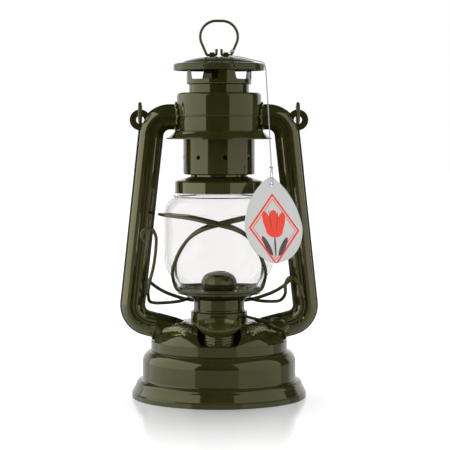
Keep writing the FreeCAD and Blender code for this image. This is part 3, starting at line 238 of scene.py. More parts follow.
def bump_from(tree, height, strength, distance, target):
    """Feeds a height into a shader's normal."""
    bump = node(tree, "Bump", Strength=strength, Distance=distance)
    join(tree, (height, bump.inputs["Height"]), (bump.outputs[0], target.inputs["Normal"]))


thread_look, tree, output = new_material("doubled_thread")
surface = node(tree, "BsdfPrincipled", Roughness=0.8)
surface.inputs["Sheen Weight"].default_value = 0.3
place = node(tree, "TexCoord")
# Painted shade: the thread's colour darkens in the grooves of its twist, where its bump is low.
twist = node(tree, "TexWave", Scale=420.0, Distortion=1.5, Detail=1.0, bands_direction="DIAGONAL")
tint = ramp(tree, THREAD_GROOVE_SHADE, THREAD_PALE)
join(tree,
     (place.outputs["Object"], twist.inputs["Vector"]),
     (twist.outputs["Fac"], tint.inputs[0]),
     (tint.outputs[0], surface.inputs["Base Color"]),
     (surface.outputs[0], output.inputs["Surface"]))
bump_from(tree, twist.outputs["Fac"], strength=0.5, distance=0.0001, target=surface)


def thread(name, route):
    """A round thread on a smooth line with the route's points as its control points."""
    line = bpy.data.curves.new(name, "CURVE")
    line.dimensions = "3D"
    line.bevel_depth = THREAD_THICK / 2
    line.bevel_resolution = 3
    line.resolution_u = 12
    line.use_fill_caps = True
    spline = line.splines.new("NURBS")
    spline.points.add(len(route) - 1)
    for point, where in zip(spline.points, route):
        point.co = (*where, 1.0)
    spline.order_u = 3
    spline.use_endpoint_u = True
    line.materials.append(thread_look)
    made = bpy.data.objects.new(name, line)
    bpy.context.scene.collection.objects.link(made)
    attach(made, "chimney")
    return made


string = thread("string_line", STRING_ROUTE)
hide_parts("tag_string")
loop = thread("loop_line", LOOP_ROUTE)
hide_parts("tag_loop")

# Any direction will do here that no swept line starts along.
SWEEP_START = (0.3, 0.9, 0.2)


def swept_tube(path, radius, sides=10, closed=False):
    """A round tube: at each path point a circle stands square to the path's direction."""
    path = np.asarray(path, float)
    if closed:
        ahead = np.roll(path, -1, 0) - np.roll(path, 1, 0)
    else:
        ahead = np.gradient(path, axis=0)
    ahead /= np.linalg.norm(ahead, axis=1)[:, None]
    side = np.zeros_like(ahead)
    start = np.cross(ahead[0], SWEEP_START)
    side[0] = start / np.linalg.norm(start)
    for i in range(1, len(path)):
        carried = side[i - 1] - ahead[i] * (side[i - 1] @ ahead[i])
        side[i] = carried / np.linalg.norm(carried)
    over = np.cross(ahead, side)
    turn = np.linspace(0, 2 * math.pi, sides, endpoint=False)[None, :, None]
    ring = side[:, None] * np.cos(turn) + over[:, None] * np.sin(turn)
    points = (path[:, None] + ring * radius).reshape(-1, 3)
    rows = len(path)
    last = rows if closed else rows - 1
    i, j = np.meshgrid(np.arange(last), np.arange(sides), indexing="ij")
    a, b = i * sides + j, i * sides + (j + 1) % sides
    c, d = ((i + 1) % rows) * sides + (j + 1) % sides, ((i + 1) % rows) * sides + j
    faces = np.stack([a, b, c, d], -1).reshape(-1, 4).tolist()
    if not closed:
        faces.append(list(range(sides))[::-1])
        faces.append([(rows - 1) * sides + k for k in range(sides)])
    return points, faces


# The knot is one overhand turn, drawn tight. Its line is a trefoil: sin t + 2 sin 2t across,
# cos t - 2 cos 2t along and -1.6 sin 3t up.
KNOT_PLACE = np.array((0.0387, -0.0189, 0.1726))
KNOT_SCALE, KNOT_STEPS = 0.00036, 60
turn = np.linspace(0, 2 * math.pi, KNOT_STEPS, endpoint=False)
trefoil = np.stack([np.sin(turn) + 2 * np.sin(2 * turn), np.cos(turn) - 2 * np.cos(2 * turn),
                    -1.6 * np.sin(3 * turn)], 1)
knot = mesh_object("thread_knot", *swept_tube(trefoil * KNOT_SCALE + KNOT_PLACE, THREAD_THICK / 2,
                                              closed=True), thread_look)
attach(knot, "chimney")
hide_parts("string_knot")

# The hitch is a short helix round the ring's foot, which leans outwards as it rises.
HITCH_FOOT = np.array((0.0096, 0.0, 0.2578))
HITCH_LEAN, HITCH_RISE = 0.20, 0.0021
HITCH_ROUND, HITCH_TURNS, HITCH_STEPS = 0.0014, 2.4, 90
along = np.linspace(0, 1, HITCH_STEPS)
wind = along * HITCH_TURNS * 2 * math.pi
hitch_path = np.stack([HITCH_ROUND * np.cos(wind) + HITCH_RISE * along * HITCH_LEAN,
                       HITCH_ROUND * np.sin(wind), HITCH_RISE * along], 1) + HITCH_FOOT
hitch = mesh_object("string_hitch", *swept_tube(hitch_path, THREAD_THICK / 2), thread_look)
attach(hitch, "chimney")


# ---- tank --------------------------------------------------------------------------------------
# Deep-drawn steel: a shell on a flared foot, a pressed bottom pan, a lid and a domed top crimped
# over the shell. Like all the lamp's sheet and wire it is dipped in olive green stoving enamel, a
# wet-looking gloss with a faint orange peel and a few specks of dust, darker where it is thicker.
ENAMEL_THIN = (0.0270, 0.0272, 0.0058, 1.0)
ENAMEL_THICK = (0.0175, 0.0177, 0.0034, 1.0)
ENAMEL_SHEEN = (1.0, 1.0, 0.60, 1.0)
DUST_GREY = (0.11, 0.11, 0.085, 1.0)
TONE_LOW, TONE_HIGH = 0.3, 0.7
GLOSS_SMOOTHER, GLOSS_ROUGHER = 0.8, 1.25
PEEL_STRENGTH = 0.25

peel = bpy.data.node_groups.new("orange_peel", "ShaderNodeTree")
for name, side in (("Scale", "INPUT"), ("Height", "OUTPUT"), ("Tone", "OUTPUT"),
                   ("Dust", "OUTPUT")):
    peel.interface.new_socket(name, in_out=side, socket_type="NodeSocketFloat")
given, result = peel.nodes.new("NodeGroupInput"), peel.nodes.new("NodeGroupOutput")
place = node(peel, "TexCoord")
ripple = node(peel, "TexNoise", Detail=2.0, Roughness=0.5)
broad = node(peel, "TexNoise", Scale=26.0, Detail=3.0, Roughness=0.6)
specks = node(peel, "TexNoise", Scale=1900.0, Detail=1.0)
sparse = node(peel, "MapRange", From_Min=0.70, From_Max=0.80)
level = node(peel, "NewGeometry")
upward = node(peel, "SeparateXYZ")
lying = node(peel, "MapRange", From_Min=0.3, From_Max=1.0)
dust = node(peel, "Math", operation="MULTIPLY")
join(peel,
     (place.outputs["Object"], ripple.inputs["Vector"]),
     (place.outputs["Object"], broad.inputs["Vector"]),
     (place.outputs["Object"], specks.inputs["Vector"]),
     (given.outputs["Scale"], ripple.inputs["Scale"]),
     (specks.outputs["Fac"], sparse.inputs["Value"]),
     (level.outputs["Normal"], upward.inputs[0]),
     (upward.outputs["Z"], lying.inputs["Value"]),
     (sparse.outputs["Result"], dust.inputs[0]),
     (lying.outputs["Result"], dust.inputs[1]),
     (ripple.outputs["Fac"], result.inputs["Height"]),
     (broad.outputs["Fac"], result.inputs["Tone"]),
     (dust.outputs[0], result.inputs["Dust"]))


def enamel(name, thin=ENAMEL_THIN, thick=ENAMEL_THICK, gloss=0.07, ripples=420.0, depth=0.00002,
           ior=1.5):
    """Gloss enamel whose tone, roughness and ripple come from the orange peel group."""
    made, tree, output = new_material(name)
    surface = node(tree, "BsdfPrincipled", IOR=ior, Specular_IOR_Level=0.75,
                   Specular_Tint=ENAMEL_SHEEN)
    skin = node(tree, "Group", node_tree=peel)
    skin.inputs["Scale"].default_value = ripples
    tone = ramp(tree, thick, thin, TONE_LOW, TONE_HIGH)
    fleck = node(tree, "Mix", data_type="RGBA")
    fleck.inputs["B"].default_value = DUST_GREY
    rough = node(tree, "MapRange", From_Min=TONE_LOW, From_Max=TONE_HIGH,
                 To_Min=gloss * GLOSS_SMOOTHER, To_Max=gloss * GLOSS_ROUGHER)
    join(tree,
         (skin.outputs["Tone"], tone.inputs[0]),
         (skin.outputs["Tone"], rough.inputs["Value"]),
         (skin.outputs["Dust"], fleck.inputs["Factor"]),
         (tone.outputs[0], fleck.inputs["A"]),
         (fleck.outputs["Result"], surface.inputs["Base Color"]),
         (rough.outputs["Result"], surface.inputs["Roughness"]),
         (surface.outputs[0], output.inputs["Surface"]))
    bump_from(tree, skin.outputs["Height"], PEEL_STRENGTH, depth, surface)
    return made


def finish_with(material, *names):
    """Gives CAD pieces their finish."""
    for name in names:
        nodes[name].data.materials.clear()
        nodes[name].data.materials.append(material)


tank_enamel = enamel("tank_enamel", ripples=300.0)
finish_with(tank_enamel, "tank_shell", "tank_top", "filler_neck")
inside_enamel = enamel("inside_enamel", gloss=0.25)
finish_with(inside_enamel, "tank_bottom", "tank_lid")

# A sprig of leaves and berries is pressed up from the dome on each side of the filler. The enamel
# lies thinly on its crests, which shine more than the sheet round them.
leaf_enamel = enamel("leaf_enamel", gloss=0.07, ripples=1300.0, depth=0.0004, ior=2.1)
DOME_ROUND = 0.0315
DOME_CENTRE = (0.02388, 0.02550)
SPRIG_FROM, SPRIG_TO = math.radians(25.0), math.radians(77.0)
SPRIG_LOW, SPRIG_HIGH = math.radians(37.0), math.radians(84.0)
SPRIG_ROWS, SPRIG_COLUMNS = 200, 140
SPRIG_LONG, SPRIG_BOW, SPRIG_DROP = 0.0290, 0.0050, 0.0016
SPRIG_SUNK, SPRIG_BACK = -0.00025, -0.00055
SWELL_HALF, SWELL_TALL, SWELL_FULL = (0.0150, 0.0080), 0.0006, 0.8
STEM_ROUND, STEM_TALL, STEM_STEPS, STEM_STRIDE = 0.00055, 0.0008, 160, 0.02
LEAF_PAIRS, LEAF_FIRST, LEAF_LAST = 8, 0.06, 0.92
LEAF_LONG, LEAF_WIDE, LEAF_TALL, LEAF_FULL = 0.0088, 0.0015, 0.0020, 0.8
LEAF_SHRINK, LEAF_LARGEST = 0.35, 0.45
LEAF_AIM, LEAF_CLOSING = math.radians(52.0), math.radians(10.0)
VEIN_DEEP, VEIN_WIDE = 0.60, 0.00035
BERRY_ROUND, BERRY_REACH = 0.0012, 0.0042


def quads(rows, columns, round_rows=False):
    """Faces between neighbours in a grid of points whose columns close into a ring."""
    last = rows if round_rows else rows - 1
    i, j = np.meshgrid(np.arange(last), np.arange(columns), indexing="ij")
    i, j = i.ravel(), j.ravel()
    up, on = (i + 1) % rows, (j + 1) % columns
    corners = [i * columns + j, i * columns + on, up * columns + on, up * columns + j]
    return np.stack(corners, -1).tolist()


def outward(points, faces):
    """The same faces, all turned over where the skin they make encloses a negative volume."""
    corners = np.array([face if len(face) == 4 else face + face[2:] for face in faces])
    a, b, c, d = np.moveaxis(points[corners], 1, 0)
    volume = (a * np.cross(b, c)).sum() + (a * np.cross(c, d)).sum()
    return faces if volume > 0 else [face[::-1] for face in faces]


def enamelled(name, points, faces, material, body, slot="olive_paint"):
    """A closed piece of the lamp's painted sheet that rides on one of its bodies."""
    points = np.asarray(points, float).reshape(-1, 3)
    made = mesh_object(name, points, outward(points, faces), material)
    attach(made, body)
    return made


def mound(distance, radius, tall):
    """A round-topped rise, tall * sqrt(1 - (distance / radius)^2); outside it, below the dome."""
    rise = tall * np.sqrt(np.clip(1 - (distance / radius) ** 2, 0, 1))
    return np.where(distance < radius, rise, SPRIG_SUNK)


def sprig_stem(share):
    """The stem's line at a share of its length: a straight run, bowed up by half a sine wave."""
    share = np.asarray(share, float)
    bow = SPRIG_BOW * np.sin(math.pi * share)
    return np.stack([(share - 0.5) * SPRIG_LONG, bow - SPRIG_DROP], -1)


def sprig_leaf(u, v, root, aim, size):
    """One leaf, as wide as a sine of the way along it, round-topped across, and grooved down its
    middle by a bell curve."""
    ahead, aside = u - root[0], v - root[1]
    along = (ahead * math.cos(aim) + aside * math.sin(aim)) / (LEAF_LONG * size)
    across = np.abs(aside * math.cos(aim) - ahead * math.sin(aim))
    inside = np.clip(along, 0.001, 0.999)
    width = LEAF_WIDE * size * np.sin(math.pi * inside) ** LEAF_FULL
    vein = 1 - VEIN_DEEP * np.exp(-(across / VEIN_WIDE) ** 2)
    return np.where(inside == along, mound(across, width, LEAF_TALL) * vein, SPRIG_SUNK)


def sprig_height(u, v):
    """Leaves in pairs along the stem, smaller towards its ends, with a berry by each pair. All
    stand on a low oval swell, 1 - u^2 - v^2 in its half sizes, raised to a power."""
    stem = sprig_stem(np.linspace(0, 1, STEM_STEPS))
    height = mound(np.min([np.hypot(u - x, v - y) for x, y in stem], axis=0), STEM_ROUND, STEM_TALL)
    for pair, share in enumerate(np.linspace(LEAF_FIRST, LEAF_LAST, LEAF_PAIRS)):
        root = sprig_stem(share)
        ahead = sprig_stem(share + STEM_STRIDE) - root
        lead = math.atan2(ahead[1], ahead[0])
        size = 1.0 - LEAF_SHRINK * abs(share - LEAF_LARGEST) * 2
        spread = LEAF_AIM - LEAF_CLOSING * share
        fork = math.pi / 2 if pair % 2 else -math.pi / 2
        berry = root + BERRY_REACH * np.array((math.cos(lead + fork), math.sin(lead + fork)))
        from_berry = np.hypot(u - berry[0], v - berry[1])
        height = np.max([height, sprig_leaf(u, v, root, lead - spread, size),
                         sprig_leaf(u, v, root, lead + spread, size),
                         mound(from_berry, BERRY_ROUND, BERRY_ROUND)], axis=0)
    swell = np.clip(1 - (u / SWELL_HALF[0]) ** 2 - (v / SWELL_HALF[1]) ** 2, 0, 1)
    return height + SWELL_TALL * swell ** SWELL_FULL


def on_dome(azimuth, climb, height):
    """The place on the dome at an azimuth from the front and an angle up its round, raised."""
    radius = DOME_CENTRE[0] + (DOME_ROUND + height) * np.cos(climb)
    return np.stack([radius * np.sin(azimuth), -radius * np.cos(azimuth),
                     DOME_CENTRE[1] + (DOME_ROUND + height) * np.sin(climb)], -1)


def sprig(name, side):
    """A pressed sprig: the raised front, then the same patch back underneath, inside the wall."""
    azimuth, climb = np.meshgrid(np.linspace(SPRIG_FROM, SPRIG_TO, SPRIG_ROWS),
                                 np.linspace(SPRIG_LOW, SPRIG_HIGH, SPRIG_COLUMNS), indexing="ij")
    middle = DOME_CENTRE[0] + DOME_ROUND * math.cos((SPRIG_LOW + SPRIG_HIGH) / 2)
    u = (azimuth - (SPRIG_FROM + SPRIG_TO) / 2) * middle
    v = (climb - (SPRIG_LOW + SPRIG_HIGH) / 2) * DOME_ROUND
    front = on_dome(side * azimuth, climb, sprig_height(u, v))
    under = on_dome(side * azimuth, climb, np.full(u.shape, SPRIG_BACK))
    around = SPRIG_COLUMNS * 2
    k = np.arange(SPRIG_COLUMNS - 1)
    end = np.stack([k, k + 1, around - 2 - k, around - 1 - k], -1)
    faces = quads(SPRIG_ROWS, around) + end.tolist()
    faces += (end[:, ::-1] + (SPRIG_ROWS - 1) * around).tolist()
    loop = np.concatenate([front, under[:, ::-1]], axis=1)
    return enamelled(name, loop, faces, leaf_enamel, "lamp_frame")


sprig("dome_sprig_left", -1)
sprig("dome_sprig_right", 1)

# Where each side tube plugs in, the dome is drawn up into a socket with a rolled edge. The
# profile holds the reach out from the lamp's axis and the growth on the tube's lower side.
TUBE_TURN = math.atan(0.268)
TUBE_OUT, TUBE_UP = 0.0662, 0.0584
SOCKET_PROFILE = ((0.0478, 0.0001), (0.0483, 0.0006), (0.0481, 0.0012), (0.0475, 0.0013),
                  (0.0469, 0.0009), (0.0455, 0.0009), (0.0430, 0.0014), (0.0400, 0.0024),
                  (0.0370, 0.0038), (0.0340, 0.0040), (0.0340, 0.0001))
SOCKET_DEEP, SOCKET_HIGH, SOCKET_SKIN = 0.0078, 0.0095, 0.0002
SOCKET_SQUARE, SOCKET_SIDES = 0.8, 96
LOWER_SHARE, LOWER_GAIN = 0.35, 0.75


def rounded(turn, power):
    """A cosine and sine whose sizes are raised to a power below 1, which fills a circle out."""
    return tuple(np.sign(wave) * np.abs(wave) ** power for wave in (np.cos(turn), np.sin(turn)))


def beside_tube(side, reach, deep, high):
    """A place by a side tube's sloping lower run: reach out along it, deep across it to the back
    and high square to it."""
    x = reach - high * math.sin(TUBE_TURN)
    z = TUBE_UP - (TUBE_OUT - reach) * math.tan(TUBE_TURN) + high * math.cos(TUBE_TURN)
    return np.stack(np.broadcast_arrays(side * x, deep, z), -1)


def tube_socket(name, side):
    """A sleeve round the tube: the tube's oval section, grown by the profile, in a closed loop."""
    turn = np.linspace(0, 2 * math.pi, SOCKET_SIDES, endpoint=False)
    across, upright = rounded(turn, SOCKET_SQUARE)
    below = np.clip(LOWER_SHARE - LOWER_GAIN * np.sin(turn), 0.0, 1.0)
    reach, grown = np.array(SOCKET_PROFILE).T[:, :, None]
    thick = SOCKET_SKIN + (grown - SOCKET_SKIN) * below
    skin = beside_tube(side, reach, (SOCKET_DEEP + thick) * across, (SOCKET_HIGH + thick) * upright)
    faces = quads(len(reach), SOCKET_SIDES, round_rows=True)
    return enamelled(name, skin, faces, tank_enamel, "lamp_frame")


tube_socket("tube_socket_left", -1)
tube_socket("tube_socket_right", 1)


# ---- filler cap --------------------------------------------------------------------------------
# A pressed screw cap with a ribbed grip, a thin lip and a ringed dish in its top, over a rubber
# gasket. It screws on to the neck that leans forwards out of the dome's well. Its enamel is a
# little greener than the tank's.
CAP_THIN, CAP_THICK = (0.040, 0.046, 0.0075, 1.0), (0.028, 0.033, 0.0045, 1.0)
RUBBER_DARK, RUBBER_BLOOM = (0.012, 0.012, 0.012, 1.0), (0.045, 0.044, 0.042, 1.0)
FILLER_FOOT = np.array((0.0, -0.0385, 0.0433))
FILLER_LEAN = math.radians(9.0)
RIBS, RIB_DEEP, RIB_FLAT = 38, 0.00080, 1.6
RIB_STEPS, RING_STEPS = 8, 96
RIB_PROFILE = ((0.01605, 0.01565), (0.01575, 0.01575), (0.01530, 0.01575), (0.01485, 0.01562),
               (0.01440, 0.01538), (0.01395, 0.01508), (0.01355, 0.01470), (0.01340, 0.01400),
               (0.01400, 0.01380), (0.01560, 0.01400))
LIP_PROFILE = ((0.01605, 0.01520), (0.01620, 0.01548), (0.01640, 0.01548), (0.01655, 0.01520),
               (0.01650, 0.01480), (0.01615, 0.01465))
DISH_PROFILE = ((0.01385, 0.01010), (0.01425, 0.01000), (0.01445, 0.00960), (0.01425, 0.00920),
                (0.01385, 0.00905), (0.01340, 0.00960))

cap_enamel = enamel("cap_enamel", thin=CAP_THIN, thick=CAP_THICK)
finish_with(cap_enamel, "filler_cap")


def filler_ring(name, profile, ribs=0, depth=0.0):
    """A ring round the filler's axis: height and radius pairs in a closed loop. Ribs are a cosine
    round the ring, steepened and cut flat at their tops and feet."""
    turn = np.linspace(0, 2 * math.pi, max(ribs * RIB_STEPS, RING_STEPS), endpoint=False)
    up, radius = np.array(profile).T[:, :, None]
    reach = radius + depth * np.clip(np.cos(ribs * turn) * RIB_FLAT, -1, 1)
    inward = reach * np.cos(turn)
    skin = [reach * np.sin(turn),
            inward * math.cos(FILLER_LEAN) - up * math.sin(FILLER_LEAN),
            inward * math.sin(FILLER_LEAN) + up * math.cos(FILLER_LEAN)]
    faces = quads(len(profile), len(turn), round_rows=True)
    return enamelled(name, np.stack(skin, -1) + FILLER_FOOT, faces, cap_enamel, "screw_cap")


filler_ring("cap_ribs", RIB_PROFILE, RIBS, RIB_DEEP)
filler_ring("cap_lip", LIP_PROFILE)
filler_ring("cap_dish_ring", DISH_PROFILE)

rubber, tree, output = new_material("gasket_rubber")
surface = node(tree, "BsdfPrincipled", Roughness=0.7)
place = node(tree, "TexCoord")
bloom = node(tree, "TexNoise", Scale=600.0, Detail=4.0, Roughness=0.7)
shade = ramp(tree, RUBBER_DARK, RUBBER_BLOOM)
join(tree,
     (place.outputs["Object"], bloom.inputs["Vector"]),
     (bloom.outputs["Fac"], shade.inputs[0]),
     (shade.outputs[0], surface.inputs["Base Color"]),
     (surface.outputs[0], output.inputs["Surface"]))
bump_from(tree, bloom.outputs["Fac"], strength=0.3, distance=0.00005, target=surface)
finish_with(rubber, "cap_gasket")


# ---- burner ------------------------------------------------------------------------------------
# Spun and pressed sheet: a body screwed into the tank's socket, a saucer under the globe plate
# and a slotted cone over a flat plaited wick. A shaft with toothed wheels feeds the wick, and is
# turned by a key at its outer end. The burner's enamel is duller and darker than the tank's.
BURNER_THIN, BURNER_THICK = (0.026, 0.025, 0.0080, 1.0), (0.016, 0.016, 0.0050, 1.0)
BURNER_GLOSS = 0.11
COTTON_GROOVE_SHADE, COTTON_PALE = (0.52, 0.49, 0.42, 1.0), (0.78, 0.75, 0.67, 1.0)

burner_coat = enamel("burner_coat", thin=BURNER_THIN, thick=BURNER_THICK, gloss=BURNER_GLOSS)
finish_with(burner_coat, "burner_socket", "burner_body", "burner_saucer", "burner_cone",
            "wick_tube", "ratchet_wheels")
finish_with(tank_enamel, "wick_shaft", "wick_knob")

# The wick key is a flat oval paddle, pressed with a raised rim round a dished middle. The profile
# holds each oval's share of the paddle's size and its place through the thickness.
KEY_AZIMUTH, KEY_SLOPE, KEY_ROLL = math.radians(-20.0), math.radians(11.5), math.radians(31.0)
KEY_START = np.array((-0.001505, -0.004135, 0.066))
KEY_REACH = 0.0494
KEY_LONG, KEY_WIDE, KEY_FLOOR = 0.0080, 0.0054, 0.0012
KEY_PROFILE = ((0.45, 0.0012), (0.66, 0.0013), (0.74, 0.0021), (0.83, 0.0025), (0.93, 0.0022),
               (1.0, 0.0009), (1.0, -0.0009), (0.93, -0.0022), (0.83, -0.0025), (0.74, -0.0021),
               (0.66, -0.0013), (0.45, -0.0012))
KEY_SQUARE, KEY_SIDES = 0.85, 72


def fan(pole, first, count, turned=False):
    """Triangles from a pole to the neighbours in the ring of points that starts at first."""
    here = np.arange(count)
    onward = (here + 1) % count
    near, far = (here, onward) if turned else (onward, here)
    return np.stack([np.full(count, pole), first + near, first + far], -1).tolist()


def wick_key():
    """Ovals of growing then shrinking share stacked through the paddle's thickness, with a pole
    on each side."""
    level_run = math.cos(KEY_SLOPE)
    along = np.array((math.cos(KEY_AZIMUTH) * level_run, math.sin(KEY_AZIMUTH) * level_run,
                      -math.sin(KEY_SLOPE)))
    level = np.cross(along, (0.0, 0.0, 1.0))
    level /= np.linalg.norm(level)
    broad = np.cross(level, along) * math.sin(KEY_ROLL) - level * math.cos(KEY_ROLL)
    thin = np.cross(along, broad)
    middle = KEY_START + along * KEY_REACH
    turn = np.linspace(0, 2 * math.pi, KEY_SIDES, endpoint=False)
    lengthwise, sideways = rounded(turn, KEY_SQUARE)
    oval = lengthwise[:, None] * KEY_LONG * along + sideways[:, None] * KEY_WIDE * broad
    rows = [middle + oval * share + thin * thick for share, thick in KEY_PROFILE]
    points = np.concatenate(rows + [[middle + thin * KEY_FLOOR, middle - thin * KEY_FLOOR]])
    front, back, last = len(points) - 2, len(points) - 1, (len(rows) - 1) * KEY_SIDES
    faces = quads(len(rows), KEY_SIDES) + fan(front, 0, KEY_SIDES)
    return points, faces + fan(back, last, KEY_SIDES, turned=True)


key = enamelled("wick_key", *wick_key(), tank_enamel, "wick_drive")
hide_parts("wick_knob")

cotton, tree, output = new_material("wick_cotton")
surface = node(tree, "BsdfPrincipled", Roughness=0.9)
place = node(tree, "TexCoord")
# Painted shade: the cotton's colour darkens in the plait's grooves, where its bump is low.
plait = node(tree, "TexWave", Scale=260.0, Distortion=0.6, Detail=1.0, bands_direction="DIAGONAL")
plait_shade = ramp(tree, COTTON_GROOVE_SHADE, COTTON_PALE)
join(tree,
     (place.outputs["Object"], plait.inputs["Vector"]),
     (plait.outputs["Fac"], plait_shade.inputs[0]),
     (plait_shade.outputs[0], surface.inputs["Base Color"]),
     (surface.outputs[0], output.inputs["Surface"]))
bump_from(tree, plait.outputs["Fac"], strength=0.6, distance=0.0002, target=surface)
finish_with(cotton, "wick")


# ---- air chamber and side tubes ----------------------------------------------------------------
# Two oval tubes of sheet steel, each a front and a back pressed half crimped together at their
# flanges. They are the lamp's frame, and bring fresh air down from the hood to the chamber under
# the burner.
finish_with(tank_enamel, "chamber_drum", "chamber_neck")
tube_enamel = enamel("tube_enamel", ripples=500.0, ior=1.7)
finish_with(tube_enamel, "tube_left_front", "tube_left_back", "tube_right_front", "tube_right_back")

# A tube's inner end is closed by a rounded shoulder that dips into the dome beside the burner.
END_AT, END_LONG, END_DEEP, END_HIGH = 0.0345, 0.0165, 0.0078, 0.0096
END_SIDES, END_ROWS = 64, 13


def tube_shoulder(name, side):
    """Half an ellipsoid: the oval section shrinks as a cosine while it reaches inwards as a sine.
    A pole closes the tip and another the flat end, inside the tube."""
    turn = np.linspace(0, 2 * math.pi, END_SIDES, endpoint=False)
    climb = np.linspace(0, math.pi / 2, END_ROWS, endpoint=False)[:, None]
    shrunk = np.cos(climb)
    rows = beside_tube(side, END_AT - END_LONG * np.sin(climb), END_DEEP * shrunk * np.cos(turn),
                       END_HIGH * shrunk * np.sin(turn))
    poles = beside_tube(side, np.array((END_AT, END_AT - END_LONG)), 0.0, 0.0)
    points = np.concatenate([rows.reshape(-1, 3), poles])
    base, tip, last = len(points) - 2, len(points) - 1, (END_ROWS - 1) * END_SIDES
    faces = quads(END_ROWS, END_SIDES) + fan(base, 0, END_SIDES)
    faces += fan(tip, last, END_SIDES, turned=True)
    return enamelled(name, points, faces, tank_enamel, "lamp_frame")


tube_shoulder("tube_shoulder_left", -1)
tube_shoulder("tube_shoulder_right", 1)


# ---- globe plate, guard and globe --------------------------------------------------------------
# A pressed and punched plate carries the clear blown glass globe, which two crossed wires guard.
# The guard, the lift wire, the ring on the cap and the bail are bent wire with a thin, duller
# coat. The glass's colour is greyer where it is seen edge on, a painted shade along the globe's
# outline.
WIRE_THIN, WIRE_THICK = (0.034, 0.034, 0.0100, 1.0), (0.024, 0.024, 0.0068, 1.0)
WIRE_GLOSS = 0.11
GLASS_FACING, GLASS_EDGE_SHADE = (0.83, 0.825, 0.822, 1.0), (0.79, 0.785, 0.78, 1.0)
EDGE_FROM, EDGE_FULL = 0.40, 0.95
GLASS_SHADOW = (0.94, 0.95, 0.945, 1.0)

finish_with(tank_enamel, "globe_plate")
wire_enamel = enamel("wire_enamel", thin=WIRE_THIN, thick=WIRE_THICK, gloss=WIRE_GLOSS)
finish_with(wire_enamel, "guard_wire_left", "guard_wire_right", "lift_wire", "lift_ring", "bail")

glass, tree, output = new_material("clear_glass")
surface = node(tree, "BsdfPrincipled", Roughness=0.0, IOR=1.2)
surface.inputs["Transmission Weight"].default_value = 1.0
# Painted shade: the base colour greys towards the globe's outline, as Layer Weight's facing falls.
edge = node(tree, "LayerWeight", Blend=0.5)
body = ramp(tree, GLASS_FACING, GLASS_EDGE_SHADE, EDGE_FROM, EDGE_FULL)
clear = node(tree, "BsdfTransparent", Color=GLASS_SHADOW)
ray = node(tree, "LightPath")
pass_on = node(tree, "MixShader")
join(tree,
     (edge.outputs["Facing"], body.inputs[0]),
     (body.outputs[0], surface.inputs["Base Color"]),
     (ray.outputs["Is Shadow Ray"], pass_on.inputs[0]),
     (surface.outputs[0], pass_on.inputs[1]),
     (clear.outputs[0], pass_on.inputs[2]),
     (pass_on.outputs[0], output.inputs["Surface"]))
finish_with(glass, "globe")


# ---- hood, chimney and cap ---------------------------------------------------------------------
# Rolled and pressed sheet: the hood is fixed between the side tubes, and the chimney slides in it
# with its collar on the globe, its windowed vent ring and its cap. The cap's roof is duller.
finish_with(tank_enamel, "hood_body", "hood_cover", "chimney_tube", "vent_ring", "ring_saddles")
roof_enamel = enamel("roof_enamel", gloss=0.22, ior=1.42)
finish_with(roof_enamel, "chimney_cap")
collar_enamel = enamel("collar_enamel", ior=1.6)
finish_with(collar_enamel, "globe_collar")

# A pleated collar is soldered over each joint between a side tube and the hood. The profile holds
# the radius between pleats, how much further the pleats reach, and the height off the hood.
HOOD_SKIN = 0.0319
COLLAR_HEIGHT = 0.2100
PLEATS, PLEAT_STEPS = 12, 10
COLLAR_PROFILE = ((0.0090, 0.0, 0.0016), (0.0096, 0.0, 0.0018), (0.0099, 0.0002, 0.0012),
                  (0.0098, 0.0018, 0.0006), (0.0096, 0.0018, 0.0001), (0.00882, 0.00162, -0.0006),
                  (0.0088, 0.0, -0.0006))


def pleated_collar(name, side):
    """Pleats that fan out from the tube on to the hood's round wall: a triangle wave round the
    tube, laid on a cylinder."""
    turn = np.linspace(0, 2 * math.pi, PLEATS * PLEAT_STEPS, endpoint=False)
    fold = 2 * np.abs((turn * PLEATS / (2 * math.pi)) % 1.0 - 0.5)
    valley, swing, stand = np.array(COLLAR_PROFILE).T[:, :, None]
    radius = valley + swing * fold
    y, z = radius * np.cos(turn), COLLAR_HEIGHT + radius * np.sin(turn)
    x = np.sqrt(HOOD_SKIN ** 2 - y ** 2) + stand
    faces = quads(len(COLLAR_PROFILE), len(turn), round_rows=True)
    return enamelled(name, np.stack([side * x, y, z], -1), faces, tank_enamel, "lamp_frame")


pleated_collar("hood_collar_left", -1)
pleated_collar("hood_collar_right", 1)

# The chimney spring is drawn steel wire, fixed under the hood's top.
STEEL_DARK, STEEL_BRIGHT = (0.36, 0.36, 0.36, 1.0), (0.60, 0.60, 0.59, 1.0)
SCUFF_LEAST, SCUFF_MOST = 0.25, 0.45
COIL_RADIUS, COIL_WIRE, COIL_TURNS, COIL_STEPS = 0.0253, 0.0006, 4, 36
COIL_LOW, COIL_HIGH, COIL_SEAT = 0.2070, 0.2264, 0.2272

steel, tree, output = new_material("spring_steel")
surface = node(tree, "BsdfPrincipled", Metallic=1.0)
place = node(tree, "TexCoord")
drawn = node(tree, "TexNoise", Scale=900.0, Detail=3.0)
worn = ramp(tree, STEEL_DARK, STEEL_BRIGHT)
scuff = node(tree, "MapRange", From_Min=0.3, From_Max=0.7, To_Min=SCUFF_LEAST, To_Max=SCUFF_MOST)
join(tree,
     (place.outputs["Object"], drawn.inputs["Vector"]),
     (drawn.outputs["Fac"], worn.inputs[0]),
     (drawn.outputs["Fac"], scuff.inputs["Value"]),
     (worn.outputs[0], surface.inputs["Base Color"]),
     (scuff.outputs["Result"], surface.inputs["Roughness"]),
     (surface.outputs[0], output.inputs["Surface"]))


